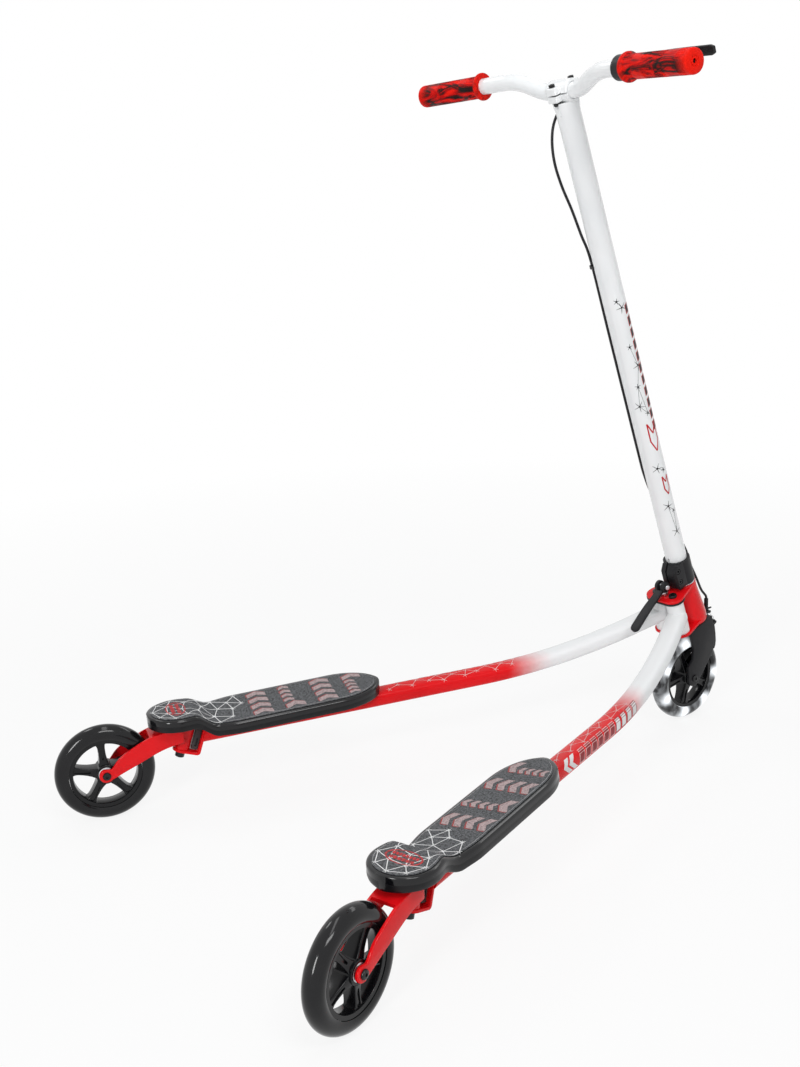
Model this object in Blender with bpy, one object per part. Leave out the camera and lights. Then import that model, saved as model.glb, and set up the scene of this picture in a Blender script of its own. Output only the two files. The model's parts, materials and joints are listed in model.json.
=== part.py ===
"""Three-wheeled carving scooter, folding arms, caster rear wheels, hand brake.

Millimetres and degrees below; shapes are scaled to metres as they are placed.
The front faces -Y, the rider's left is +X, and the ground is Z = 0.
"""
from math import cos, degrees, pi, radians, sin, sqrt, tan

import bmesh
import bpy
from mathutils import Matrix, Vector

MM = 0.001
GAP = 0.3

# Wheels and stance
WHEEL_RADIUS = 72.5
REAR_TYRE_WIDTH = 27.0
FRONT_TYRE_WIDTH = 28.0
REAR_TRACK_HALF = 316.6
REAR_AXLE_Y = 448.7
FRONT_AXLE_Y = -445.4
SPLAY = 17.5

# Head and steering
RAKE = 18.64
HEAD_FOOT_Y = -515.6
HEAD_TUBE_LOW = 178.0
HEAD_TUBE_TOP = 251.5
HEAD_TUBE_RADIUS = 21.5
HEAD_FLARE_TOP = 240.0
HEAD_FLARE_LOW = 190.0
HEAD_FOOT_RADIUS = 26.5
HEAD_BORE = 17.5
PLATE = 4.0
LOWER_PLATE = 181.5
LOBE_RADIUS = 17.2
PIVOT_X = 17.0
PIVOT_BEHIND = 42.5
GASKET = 2.7
STEERER_RADIUS = 13.0
COLLAR_LOW = 254.6
COLLAR_TOP = 297.5
COLLAR_RADIUS = 21.5
COLLAR_BOLTS = (268.5, 287.5)
COLLAR_BOLT_BEHIND = 21.5
COLLAR_REACH = 33.6
STEM_RADIUS = 17.0
STEM_LOW = 255.0
STEM_SLIT_TOP = 303.0
BAR_HEIGHT = 1048.0

# Folding lock
LOCK_PIVOT_UP = 268.0
LOCK_FALL = 26.8
LOCK_BLADE = ((5.0, 0.0, 6.4), (14.0, 0.0, 6.6), (24.0, 0.9, 7.0), (42.0, 3.3, 7.6),
              (60.0, 4.4, 8.0), (81.5, 5.0, 8.2))
LOCK_BLADE_HALF = 2.7

# Handlebar and grips
BAR_RADIUS = 11.1
BAR_RISE = 23.2
BAR_HALF = 257.0
GRIP_START = 140.0
GRIP_LENGTH = 121.0
GRIP_BEHIND = 15.3
GRIP_SWEEP = 6.9
GRIP_RADIUS = 15.6
FLANGE_RADIUS = 19.0
CLAMP_HALF = 19.5
CLAMP_RADIUS = 15.6
CLAMP_EAR = 24.5
CLAMP_BOLT = 18.6
LEVER_PIN = (24.0, -8.5)
LEVER_CLAMP = (-16.0, -1.0)

# Brake cable
CABLE_RADIUS = 2.0
CABLE_SIDE = (16.97, 9.8)
CLIP_LOW = 796.0
CLIP_TOP = 801.0

# Arms and decks
ARM_HALF_WIDTH = 16.0
ARM_HALF_HEIGHT = 12.5
SLEEVE_RADIUS = 14.0
ARM_BEND_Y = -257.2
ARM_BEND_Z = 123.5
ARM_REAR_Z = 107.0
DECK_CANT = 6.8
DECK_SLOPE = 2.4
DECK_HALF_WIDTH = 44.5
DECK_WAIST = 38.5
DECK_HEEL_RADIUS = 44.0
DECK_HEIGHT = 137.5
DECK_THICKNESS = 19.5
DECK_REAR = -35.0
DECK_FRONT = 322.5
DECK_AHEAD = 102.2
HEEL_RISE = 18.5
TAPE_INSET = 6.0
TAPE_THICKNESS = 1.0

# Casters
SWIVEL_TILT = 19.0
SWIVEL_AHEAD = 111.9
SWIVEL_HEIGHT = 83.7
BRACKET_HALF_WIDTH = 13.0
BRACKET_WEB_AHEAD = 27.0
BRACKET_HEIGHT = 45.3
BARREL_RADIUS = 11.5
FORK_INNER = 16.4
FORK_OUTER = 20.2

# Wheel cores
HUB_RADIUS = 14.6
HUB_HALF = 14.4
RIM_INNER = 46.5
RIM_OUTER = 52.2
SPOKES = 5
FRONT_SPOKE_TURN = 10
REAR_SPOKE_TURN = {"left": 29, "right": 66}

# Brake
BRAKE_PIN = (-42.0, 147.0)
WIRE_BEHIND = -36.6
STOP_HEIGHT = 170.0
TAB_LOW = -2.8
TAB_TOP = 1.2
ADJUSTER_TOP = 22.0
SPRING_TOP = 165.0
SPRING_TURNS = 2.75
SPRING_WIRE = 0.5
SPRING_RADIUS = 2.6
SPRING_PITCH = 2.1

RED = (0.78, 0.012, 0.015)
BLACK = (0.012, 0.012, 0.014)
WHITE = (0.86, 0.87, 0.87)
STEEL = (0.55, 0.56, 0.58)
CLEAR = (0.55, 0.57, 0.6)
TAPE = (0.05, 0.05, 0.055)


def clear_scene():
    for old in list(bpy.data.objects):
        bpy.data.objects.remove(old, do_unlink=True)


def finish(name, colour, roughness, metallic):
    """One Principled material."""
    made = bpy.data.materials.new(name)
    made.use_nodes = True
    shader = made.node_tree.nodes["Principled BSDF"]
    shader.inputs["Base Color"].default_value = (*colour, 1.0)
    shader.inputs["Roughness"].default_value = roughness
    shader.inputs["Metallic"].default_value = metallic
    made.diffuse_color = (*colour, 1.0)
    return made


# Frames of reference

def shift(x, y, z):
    return Matrix.Translation(Vector((x, y, z)) * MM)


def turn(angle, axis):
    return Matrix.Rotation(radians(angle), 4, axis)


WORLD = Matrix.Identity(4)
HEAD = shift(0, HEAD_FOOT_Y, 0) @ turn(-RAKE, "X")


def wheel_frame(side):
    """At a rear wheel's centre: X along the axle, Y rearwards, Z up."""
    return shift(side * REAR_TRACK_HALF, REAR_AXLE_Y, WHEEL_RADIUS) @ turn(-side * SPLAY, "Z")


def swivel_frame(side):
    """On a caster's swivel axis, at the underside of its bracket: Z up the axis, Y rearwards."""
    local = shift(0, -SWIVEL_AHEAD, SWIVEL_HEIGHT - WHEEL_RADIUS) @ turn(SWIVEL_TILT, "X")
    return wheel_frame(side) @ local


def pivot_frame(side):
    """On an arm's pivot bolt, parallel to the steering axis."""
    return HEAD @ shift(side * PIVOT_X, PIVOT_BEHIND, 0)


def deck_frame(side):
    """Under the ankle: X across towards +X, Y rearwards, Z square to the deck."""
    ahead = DECK_AHEAD + 150.0
    place = wheel_frame(side) @ shift(0, -ahead, DECK_HEIGHT - WHEEL_RADIUS)
    lean = turn(-DECK_SLOPE, "X") @ turn(-side * DECK_CANT, "Y")
    return place @ lean @ shift(0, 150.0, 0)


def grip_frame(side):
    """At a grip's flange: Z outwards along the grip."""
    place = HEAD @ shift(side * GRIP_START, GRIP_BEHIND, BAR_HEIGHT + BAR_RISE)
    outward = Matrix(((0, 0, side), (-1, 0, 0), (0, -side, 0))).to_4x4()
    return place @ turn(side * GRIP_SWEEP, "Z") @ outward


def front_wheel_frame():
    return shift(0, FRONT_AXLE_Y, WHEEL_RADIUS)


def axle_turned():
    """Turns a shape made round Z so that its axis lies along X."""
    return turn(90, "Y")


# Shapes, in millimetres

def solid_from(bm, name):
    bmesh.ops.remove_doubles(bm, verts=bm.verts, dist=0.0005)
    bmesh.ops.recalc_face_normals(bm, faces=bm.faces)
    mesh = bpy.data.meshes.new(name)
    bm.to_mesh(mesh)
    bm.free()
    made = bpy.data.objects.new(name, mesh)
    bpy.context.scene.collection.objects.link(made)
    return made


def loft(rings, name="shape", closed=False):
    """A skin over rings of equal length, capped at both ends unless it closes on itself."""
    bm = bmesh.new()
    loops = [[bm.verts.new(point) for point in ring] for ring in rings]
    pairs = list(zip(loops, loops[1:]))
    if closed:
        pairs.append((loops[-1], loops[0]))
    for low, high in pairs:
        count = len(low)
        for index in range(count):
            after = (index + 1) % count
            bm.faces.new((low[index], low[after], high[after], high[index]))
    if not closed:
        bm.faces.new(loops[0])
        bm.faces.new(loops[-1])
    return solid_from(bm, name)


def circle(radius, height, steps):
    return [Vector((radius * cos(2 * pi * k / steps), radius * sin(2 * pi * k / steps), height))
            for k in range(steps)]


def turned(profile, steps=24, bored=False, name="turned"):
    """A solid turned round Z from (radius, height) points; a bored one is a closed profile."""
    return loft([circle(radius, height, steps) for radius, height in profile], name, closed=bored)


def rod(radius, low, high, steps=20):
    return turned([(radius, low), (radius, high)], steps)


def tube(inner, outer, low, high, steps=20):
    return turned([(inner, low), (outer, low), (outer, high), (inner, high)], steps, bored=True)


def prism(outline, low, high):
    """An outline of (x, y) points raised from low to high."""
    return loft([[Vector((x, y, level)) for x, y in outline] for level in (low, high)])


def box(x0, x1, y0, y1, z0, z1, bevel=0.0):
    made = prism([(x0, y0), (x1, y0), (x1, y1), (x0, y1)], z0, z1)
    if bevel:
        bm = bmesh.new()
        bm.from_mesh(made.data)
        bmesh.ops.bevel(bm, geom=list(bm.edges), offset=bevel, segments=1, affect="EDGES",
                        profile=0.5)
        bm.to_mesh(made.data)
        bm.free()
    return made


def wrapped(circles, low, high, steps=20):
    """The plate that a band stretched round the circles (x, y, radius) would outline."""
    bm = bmesh.new()
    for x, y, radius in circles:
        for level in (low, high):
            for point in circle(radius, level, steps):
                bm.verts.new(point + Vector((x, y, 0)))
    hull = bmesh.ops.convex_hull(bm, input=bm.verts)
    inner = {item for item in hull["geom_interior"] if isinstance(item, bmesh.types.BMVert)}
    inner |= {item for item in hull["geom_unused"] if isinstance(item, bmesh.types.BMVert)}
    bmesh.ops.delete(bm, geom=list(inner), context="VERTS")
    return solid_from(bm, "wrapped")


def moved(made, matrix):
    """Moves a shape by a matrix whose shift is in metres."""
    local = matrix.copy()
    local.translation = matrix.translation / MM
    made.data.transform(local)
    if local.determinant() < 0:
        made.data.flip_normals()
    return made


def combine(target, tool, operation):
    change = target.modifiers.new("change", "BOOLEAN")
    change.operation = operation
    change.object = tool
    graph = bpy.context.evaluated_depsgraph_get()
    graph.update()
    result = bpy.data.meshes.new_from_object(target.evaluated_get(graph))
    target.modifiers.clear()
    target.data = result
    bpy.data.objects.remove(tool, do_unlink=True)
    return target


def joined(target, *tools):
    for tool in tools:
        combine(target, tool, "UNION")
    return target


def cut(target, *tools):
    for tool in tools:
        combine(target, tool, "DIFFERENCE")
    return target


def sweep(points, half_width, half_height, lifts, sides=14, power=3.0):
    """Superellipse rings along points; lifts gives each ring's rough upward direction."""
    rings = []
    for index, point in enumerate(points):
        before = points[max(index - 1, 0)]
        after = points[min(index + 1, len(points) - 1)]
        along = (after - before).normalized()
        across = along.cross(lifts[index]).normalized()
        up = across.cross(along)
        ring = []
        for k in range(sides):
            angle = 2 * pi * (k + 0.5) / sides
            u = abs(cos(angle)) ** (2 / power) * (1 if cos(angle) > 0 else -1)
            v = abs(sin(angle)) ** (2 / power) * (1 if sin(angle) > 0 else -1)
            ring.append(point + across * u * half_width + up * v * half_height)
        rings.append(ring)
    return rings


def smooth_path(knots, count):
    """Evenly spread points on a smooth curve through the knots."""
    ends = [knots[0] * 2 - knots[1], *knots, knots[-1] * 2 - knots[-2]]
    fine = []
    for a, b, c, d in zip(ends, ends[1:], ends[2:], ends[3:]):
        for k in range(24):
            t = k / 24
            fine.append(0.5 * ((2 * b) + (c - a) * t + (2 * a - 5 * b + 4 * c - d) * t * t
                               + (3 * b - a - 3 * c + d) * t ** 3))
    fine.append(knots[-1])
    lengths = [0.0]
    for p, q in zip(fine, fine[1:]):
        lengths.append(lengths[-1] + (q - p).length)
    points = []
    step = 0
    for k in range(count):
        goal = lengths[-1] * k / (count - 1)
        while step < len(lengths) - 2 and lengths[step + 1] < goal:
            step += 1
        part = (goal - lengths[step]) / max(lengths[step + 1] - lengths[step], 1e-9)
        points.append(fine[step].lerp(fine[step + 1], part))
    return points


def thinned(points, bend=4.0, stretch=60.0):
    """Drops points of a path where it runs almost straight."""
    kept = [points[0]]
    turned_by = 0.0
    for before, point, after in zip(points, points[1:], points[2:]):
        turned_by += degrees((point - before).angle(after - point))
        if turned_by > bend or (after - kept[-1]).length > stretch:
            kept.append(point)
            turned_by = 0.0
    return kept + [points[-1]]


def hollow_sweep(points, outer, inner, sides=14):
    """A pipe with its bore, open at both ends."""
    lifts = [Vector((0, 0, 1))] * len(points)
    skin = sweep(points, outer, outer, lifts, sides, power=2.0)
    bore = sweep(points, inner, inner, lifts, sides, power=2.0)
    return loft(skin + bore[::-1], closed=True)


def cord(points, radius, sides_setting):
    """A round cord as a bevelled curve with filled caps, turned to a mesh by the build."""
    data = bpy.data.curves.new("cord", "CURVE")
    data.dimensions = "3D"
    data.bevel_depth = radius
    data.bevel_resolution = sides_setting
    data.use_fill_caps = True
    line = data.splines.new("POLY")
    line.points.add(len(points) - 1)
    for spot, point in zip(line.points, points):
        spot.co = (*point, 1.0)
    made = bpy.data.objects.new("cord", data)
    bpy.context.scene.collection.objects.link(made)
    return made


def place(made, name, finish_used, frame, body=None):
    """Names a shape, scales it to metres, and gives it its frame and its body's origin."""
    origin = body or frame
    local = origin.inverted() @ frame @ Matrix.Scale(MM, 4)
    made.data.transform(local)
    made.matrix_world = origin
    made.name = name
    made.data.name = name
    made.data.materials.clear()
    made.data.materials.append(finish_used)
    if made.type == "MESH":
        made.data.shade_smooth()
        made.data.set_sharp_from_angle(angle=radians(35))
    return made


# Head and frame

def lobes(low, high, tube_radius):
    return wrapped([(0, 0, tube_radius),
                    (PIVOT_X, PIVOT_BEHIND, LOBE_RADIUS),
                    (-PIVOT_X, PIVOT_BEHIND, LOBE_RADIUS)], low, high)


def bracket_holes(target):
    for x in (-PIVOT_X, PIVOT_X):
        cut(target, moved(rod(5.2, 150, 280, 12), shift(x, PIVOT_BEHIND, 0)))
    return cut(target, moved(rod(2.9, 150, 280, 8), shift(0, PIVOT_BEHIND, 0)))


def make_head(paint):
    tube_part = turned([(HEAD_FOOT_RADIUS - 1.0, HEAD_TUBE_LOW), (HEAD_FOOT_RADIUS, HEAD_TUBE_LOW + 1.0),
                        (HEAD_FOOT_RADIUS, HEAD_FLARE_LOW), (HEAD_TUBE_RADIUS, HEAD_FLARE_TOP),
                        (HEAD_TUBE_RADIUS, HEAD_TUBE_TOP)], 28)
    joined(tube_part, lobes(HEAD_TUBE_TOP - PLATE, HEAD_TUBE_TOP - 0.01, HEAD_TUBE_RADIUS - 0.1),
           lobes(LOWER_PLATE, LOWER_PLATE + PLATE, HEAD_FOOT_RADIUS - 0.5))
    cut(tube_part, rod(HEAD_BORE, 150, 280, 20))
    bracket_holes(tube_part)
    place(tube_part, "head_tube", paint["red"], HEAD)


def make_headset(paint):
    upper = tube(STEERER_RADIUS + GAP, 20.8, HEAD_TUBE_TOP + GAP, COLLAR_LOW - GAP)
    place(upper, "headset_upper", paint["steel"], HEAD)
    lower = tube(STEERER_RADIUS + GAP, 20.4, 173.3, HEAD_TUBE_LOW - GAP)
    place(lower, "headset_lower", paint["black_metal"], HEAD)


def make_gasket(paint):
    top = HEAD_TUBE_TOP - PLATE - GAP
    sheet = wrapped([(PIVOT_X, PIVOT_BEHIND, LOBE_RADIUS + 0.6),
                     (-PIVOT_X, PIVOT_BEHIND, LOBE_RADIUS + 0.6)], top - GASKET, top)
    cut(sheet, rod(HEAD_TUBE_RADIUS + GAP, 200, 280, 24))
    bracket_holes(sheet)
    place(sheet, "bracket_gasket", paint["rubber"], HEAD)


def make_pivot_bolts(paint):
    for side, word in ((1, "left"), (-1, "right")):
        shape = rod(4.6, LOWER_PLATE - 7.0, 253.0, 10)
        joined(shape, rod(6.6, HEAD_TUBE_TOP + GAP, HEAD_TUBE_TOP + 4.2, 12))
        joined(shape, rod(6.8, LOWER_PLATE - 6.8, LOWER_PLATE - GAP, 6))
        cut(shape, rod(2.6, HEAD_TUBE_TOP + 1.8, HEAD_TUBE_TOP + 6, 6))
        place(shape, f"arm_pivot_bolt_{word}", paint["black_metal"], pivot_frame(side))


def lock_frame():
    """On the lock lever's cross pin: X along the pin, Y towards the lever's tip."""
    return HEAD @ shift(0, PIVOT_BEHIND + 1.0, LOCK_PIVOT_UP) @ turn(-LOCK_FALL, "X")


def make_lock(paint):
    shank = rod(2.5, LOWER_PLATE - 6.5, 266.0, 12)
    joined(shank, rod(5.0, LOWER_PLATE - 6.0, LOWER_PLATE - GAP, 6),
           box(-3, 3, -4.6, 4.6, 261.5, 273.5, 1.2))
    across = moved(rod(2.5, -12, 12, 12), shift(0, 1.0, LOCK_PIVOT_UP) @ axle_turned())
    cut(shank, across)
    place(shank, "lock_rod", paint["steel"], HEAD @ shift(0, PIVOT_BEHIND, 0))

    washer = tube(2.5 + GAP, 6.6, HEAD_TUBE_TOP + GAP, LOCK_PIVOT_UP - 9.6, 12)
    place(washer, "lock_washer", paint["steel"], HEAD @ shift(0, PIVOT_BEHIND, 0))

    pin = turned([(4.2, -12.0), (4.2, -9.0), (2.2, -9.0), (2.2, 9.0), (3.2, 9.0), (3.2, 11.4)], 12)
    place(moved(pin, axle_turned()), "lock_pin", paint["steel"], lock_frame())

    cheek = moved(rod(9.0, -8.7, 8.7, 20), axle_turned())
    joined(cheek, lock_blade())
    cut(cheek, moved(rod(2.5, -20, 20, 12), axle_turned()),
        box(-3.4, 3.4, -12, 9.6, -12, 12))
    place(cheek, "lock_lever", paint["black"], lock_frame())


def lock_blade():
    """The lever's flat handle: it dips and rises along its length and ends in a round tip."""
    stations = list(LOCK_BLADE)
    centre, height, half = LOCK_BLADE[-1]
    for angle in (22, 42, 60, 75, 86):
        round_end = radians(angle)
        stations.append((centre + half * sin(round_end), height, half * cos(round_end)))
    rings = []
    for y, z, half in stations:
        rings.append([Vector((-half, y, z - LOCK_BLADE_HALF)), Vector((half, y, z - LOCK_BLADE_HALF)),
                      Vector((half, y, z + LOCK_BLADE_HALF)), Vector((-half, y, z + LOCK_BLADE_HALF))])
    return loft(rings)


# Steering column and bar

def make_collar(paint):
    ring = tube(STEM_RADIUS + GAP, COLLAR_RADIUS, COLLAR_LOW, COLLAR_TOP, 22)
    near, far, seat = -20.5, 10.0, -16.0
    side = [(8, COLLAR_LOW + 2.0), (27, COLLAR_LOW + 1.6), (29, COLLAR_LOW + 7), (29, COLLAR_TOP - 11),
            (22, COLLAR_TOP - 0.8), (8, COLLAR_TOP - 0.8)]
    ears = moved(side_plate(side, (far - near) / 2), shift((far + near) / 2, 0, 0))
    combine(ears, rod(COLLAR_REACH, COLLAR_LOW - 5, COLLAR_TOP + 5, 40), "INTERSECT")
    joined(ring, ears)
    cut(ring, rod(STEM_RADIUS + GAP, COLLAR_LOW - 5, COLLAR_TOP + 5, 22),
        box(-1.5, 1.5, 10, 40, COLLAR_LOW - 5, COLLAR_TOP + 5))
    for height in COLLAR_BOLTS:
        across = shift(0, COLLAR_BOLT_BEHIND, height) @ axle_turned()
        cut(ring, moved(rod(2.8, -30, 30, 12), across), moved(rod(4.6, near - 5, seat, 16), across))
    place(ring, "stem_collar", paint["black"], HEAD)
    for height, word in zip(COLLAR_BOLTS, ("lower", "upper")):
        frame = HEAD @ shift(seat - GAP, COLLAR_BOLT_BEHIND, height) @ turn(-90, "Y")
        shape = joined(rod(4.1, 0, 3.9, 12), rod(2.4, seat - GAP - far + 0.2, 0.5, 8))
        cut(shape, rod(2.2, 1.6, 6, 6))
        place(shape, f"collar_bolt_{word}", paint["black_metal"], frame, HEAD)


def clamp_block(low, high):
    """The handlebar clamp's outer shape between two heights above the bar's centre."""
    barrel = moved(rod(CLAMP_RADIUS, -CLAMP_HALF, CLAMP_HALF, 24), axle_turned())
    joined(barrel, box(-9, 9, -CLAMP_EAR, CLAMP_EAR, -10, 10.5, 2.0))
    keep = box(-40, 40, -40, 40, low, high)
    combine(barrel, keep, "INTERSECT")
    cut(barrel, moved(rod(BAR_RADIUS + 1.5 * GAP, -60, 60, 18), axle_turned()))
    for y in (-CLAMP_BOLT, CLAMP_BOLT):
        cut(barrel, moved(rod(2.9, -30, 30, 10), shift(0, y, 0)))
    return barrel


def make_stem(paint):
    column = tube(STEERER_RADIUS + GAP, STEM_RADIUS, STEM_LOW, BAR_HEIGHT - 15.0, 20)
    saddle = moved(clamp_block(-30, -1.0), shift(0, 0, BAR_HEIGHT))
    collar = turned([(STEM_RADIUS, -26), (STEM_RADIUS + 1.5, -18), (STEM_RADIUS + 1.5, -12.6),
                     (13.5, -12.6), (13.5, -26)], 20, bored=True)
    joined(column, moved(collar, shift(0, 0, BAR_HEIGHT)), saddle)
    for y in (-CLAMP_BOLT, CLAMP_BOLT):
        cut(column, moved(rod(3.8, -30, -10.2, 14), shift(0, y, BAR_HEIGHT)))
    cut(column, box(-1.2, 1.2, 10, 20, STEM_LOW - 5, STEM_SLIT_TOP),
        moved(rod(1.9, -20, -10, 12), shift(0, 0, STEM_SLIT_TOP) @ turn(90, "X")))
    place(column, "stem", paint["white"], HEAD)

    cap = moved(clamp_block(1.0, 40), shift(0, 0, BAR_HEIGHT))
    place(cap, "bar_clamp_cap", paint["white"], HEAD)

    for y, word in ((-CLAMP_BOLT, "front"), (CLAMP_BOLT, "rear")):
        shape = joined(rod(4.2, 0, 4.0, 12), rod(2.5, -26.0, 0.5, 8))
        joined(shape, rod(3.5, -25.0, -21.6, 6))
        cut(shape, rod(2.1, 1.6, 6, 6))
        place(shape, f"clamp_bolt_{word}", paint["black_metal"],
              HEAD @ shift(0, y, BAR_HEIGHT + 10.5 + GAP), HEAD)


def bar_knots():
    """Half of the bar's centre line, from the clamp outwards, in the head's frame."""
    grip = tan(radians(GRIP_SWEEP))
    half = [(0, 0, 0), (12, 0, 0), (23, 0, 0), (33, 0.6, 1.4), (46, 2.2, 6.4), (66, 5, 16.0),
            (88, 8.5, BAR_RISE - 1), (112, 11.8, BAR_RISE), (GRIP_START, GRIP_BEHIND, BAR_RISE)]
    far = BAR_HALF - GRIP_START
    half.append((BAR_HALF, GRIP_BEHIND + far * grip, BAR_RISE))
    return [Vector((x, y, BAR_HEIGHT + z)) for x, y, z in half]


def make_bar(paint):
    right = [Vector((-p.x, p.y, p.z)) for p in bar_knots()[:0:-1]]
    points = thinned(smooth_path(right + bar_knots(), 61), 5.0)
    place(hollow_sweep(points, BAR_RADIUS, BAR_RADIUS - 2.2, 14), "handlebar", paint["white"], HEAD)

    for side, word in ((1, "left"), (-1, "right")):
        end = GRIP_LENGTH
        bore = BAR_RADIUS + GAP
        shape = turned([(bore, 0), (FLANGE_RADIUS - 1.2, 0), (FLANGE_RADIUS, 1.2),
                        (FLANGE_RADIUS, 3.6), (GRIP_RADIUS, 7.0),
                        (GRIP_RADIUS, end - 2.5), (GRIP_RADIUS - 2.0, end), (3.0, end),
                        (3.0, end - 2.6), (bore, end - 2.6)], 18, bored=True)
        place(shape, f"grip_{word}", paint["grip"], grip_frame(side), HEAD)


def lever_frame():
    """On the brake lever's pin: Z outwards along the grip, Y up the pin, X forwards."""
    return grip_frame(-1) @ shift(LEVER_PIN[0], 0, LEVER_PIN[1])


def make_lever(paint):
    low, high = LEVER_CLAMP
    ring = tube(BAR_RADIUS + GAP, 16.2, low, high, 20)
    body = box(12, LEVER_PIN[0] + 6, -8.5, 8.5, low, high, 2.0)
    joined(ring, body)
    ferrule = moved(rod(4.2, low - 9.0, low + 1, 10), shift(LEVER_PIN[0] - 1.0, 0, 0))
    joined(ring, ferrule)
    cut(ring, moved(rod(3.2, low - 20, low - 4.0, 10), shift(LEVER_PIN[0] - 1.0, 0, 0)),
        box(LEVER_PIN[0] - 7.4, LEVER_PIN[0] + 20, -4.2, 4.2, low + 2.0, high + 5),
        moved(rod(2.4, -20, 20, 12), shift(LEVER_PIN[0], 0, LEVER_PIN[1]) @ turn(90, "X")))
    cut(ring, rod(BAR_RADIUS + GAP, -60, 60, 20))
    place(ring, "lever_bracket", paint["black"], grip_frame(-1), HEAD)

    pin = moved(rod(2.1, -9.2, 9.2, 12), turn(90, "X"))
    place(pin, "lever_pin", paint["steel"], lever_frame(), HEAD)

    knots = [Vector((0.9, 0, 2.0)), Vector((4.0, 0, 9.0)), Vector((10.0, 0, 20.0)),
             Vector((16.5, 0, 42.0)), Vector((18.5, 0, 75.0)), Vector((19.0, 0, 118.0))]
    points = smooth_path(knots, 9)
    rings = []
    for index, point in enumerate(points):
        before = points[max(index - 1, 0)]
        after = points[min(index + 1, len(points) - 1)]
        along = (after - before).normalized()
        out = along.cross(Vector((0, 1, 0)))
        far = index / (len(points) - 1)
        half = 3.4 + 3.0 * min(1.0, max(0.0, far - 0.1) / 0.15)
        if index == len(points) - 1:
            half = 4.4
        thick = 2.3
        ring = [point + Vector((0, v * half, 0)) + out * u * thick
                for u, v in ((-1, 0), (-0.6, -1), (0.6, -1), (1, 0), (0.6, 1), (-0.6, 1))]
        rings.append(ring)
    blade = loft(rings)
    joined(blade, moved(rod(4.8, -3.8, 3.8, 16), turn(90, "X")))
    cut(blade, moved(rod(2.4, -20, 20, 12), turn(90, "X")))
    place(blade, "brake_lever", paint["black"], lever_frame())


def grip_to_head(x, y, z):
    """A point of the right grip's frame, given in the head's frame, both in millimetres."""
    local = HEAD.inverted() @ grip_frame(-1) @ (Vector((x, y, z)) * MM)
    return local / MM


def cable_knots():
    """The brake cable's route in the head's frame: across, behind the steering axis, up."""
    low = LEVER_CLAMP[0]
    start = grip_to_head(LEVER_PIN[0] - 1.0, 0, low - 4.0 - GAP)
    lead = grip_to_head(LEVER_PIN[0] - 1.0, 0, low - 14.0)
    route = [start, lead]
    for x, behind, height in ((-72, -23, 1062), (-38, -31, 1052), (-6, -32, 1043), (18, -18, 1032),
                              (25, 4, 1012), (25, 18, 990), (23, 26, 960), (20.5, 26, 926),
                              (19.5, 19.4, 888), (18.0, 15.2, 850), (*CABLE_SIDE, 808),
                              (*CABLE_SIDE, 700), (*CABLE_SIDE, 590), (*CABLE_SIDE, 490),
                              (18.6, 7.2, 450), (20.4, -0.5, 410), (17.6, -10.8, 370),
                              (9.4, -18.6, 335), (1.0, -24.6, 300), (0.0, -26.4, 270),
                              (0.0, -32.4, 240), (0.0, -36.8, 214), (0.0, -40.8, 203.5),
                              (0.0, -44.0, 196.5)):
        route.append(Vector((x, behind, height)))
    up = turn(RAKE, "X") @ Vector((0, 0, 1))
    stop = Vector((0, WIRE_BEHIND, STOP_HEIGHT))
    return route + [stop + up * (ADJUSTER_TOP + 2.0), stop + up * (ADJUSTER_TOP - 2.0)]


def make_cable(paint):
    shape = cord(thinned(smooth_path(cable_knots(), 160), 7.0), CABLE_RADIUS, 2)
    place(shape, "brake_cable", paint["rubber"], HEAD)

    slack = 2 * GAP
    band = 1.4
    foot = STEM_RADIUS + GAP + 0.9
    feet = [(foot * cos(radians(30 + turned_by)), foot * sin(radians(30 + turned_by)), 1.0)
            for turned_by in (-24, 24)]
    clip = wrapped([(*CABLE_SIDE, CABLE_RADIUS + slack + band), *feet], CLIP_LOW, CLIP_TOP, 16)
    cut(clip, rod(STEM_RADIUS + GAP, CLIP_LOW - 5, CLIP_TOP + 5, 40),
        moved(rod(CABLE_RADIUS + slack, CLIP_LOW - 5, CLIP_TOP + 5, 16), shift(*CABLE_SIDE, 0)))
    place(clip, "cable_clip", paint["black"], HEAD)


# Fork, brake and front wheel

def head_of_front_axle():
    local = HEAD.inverted() @ front_wheel_frame()
    return local.translation / MM


def cable_stop():
    """Where the brake cable ends on the fork, seen from the head: level with the ground."""
    return shift(0, WIRE_BEHIND, STOP_HEIGHT) @ turn(RAKE, "X")


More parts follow.
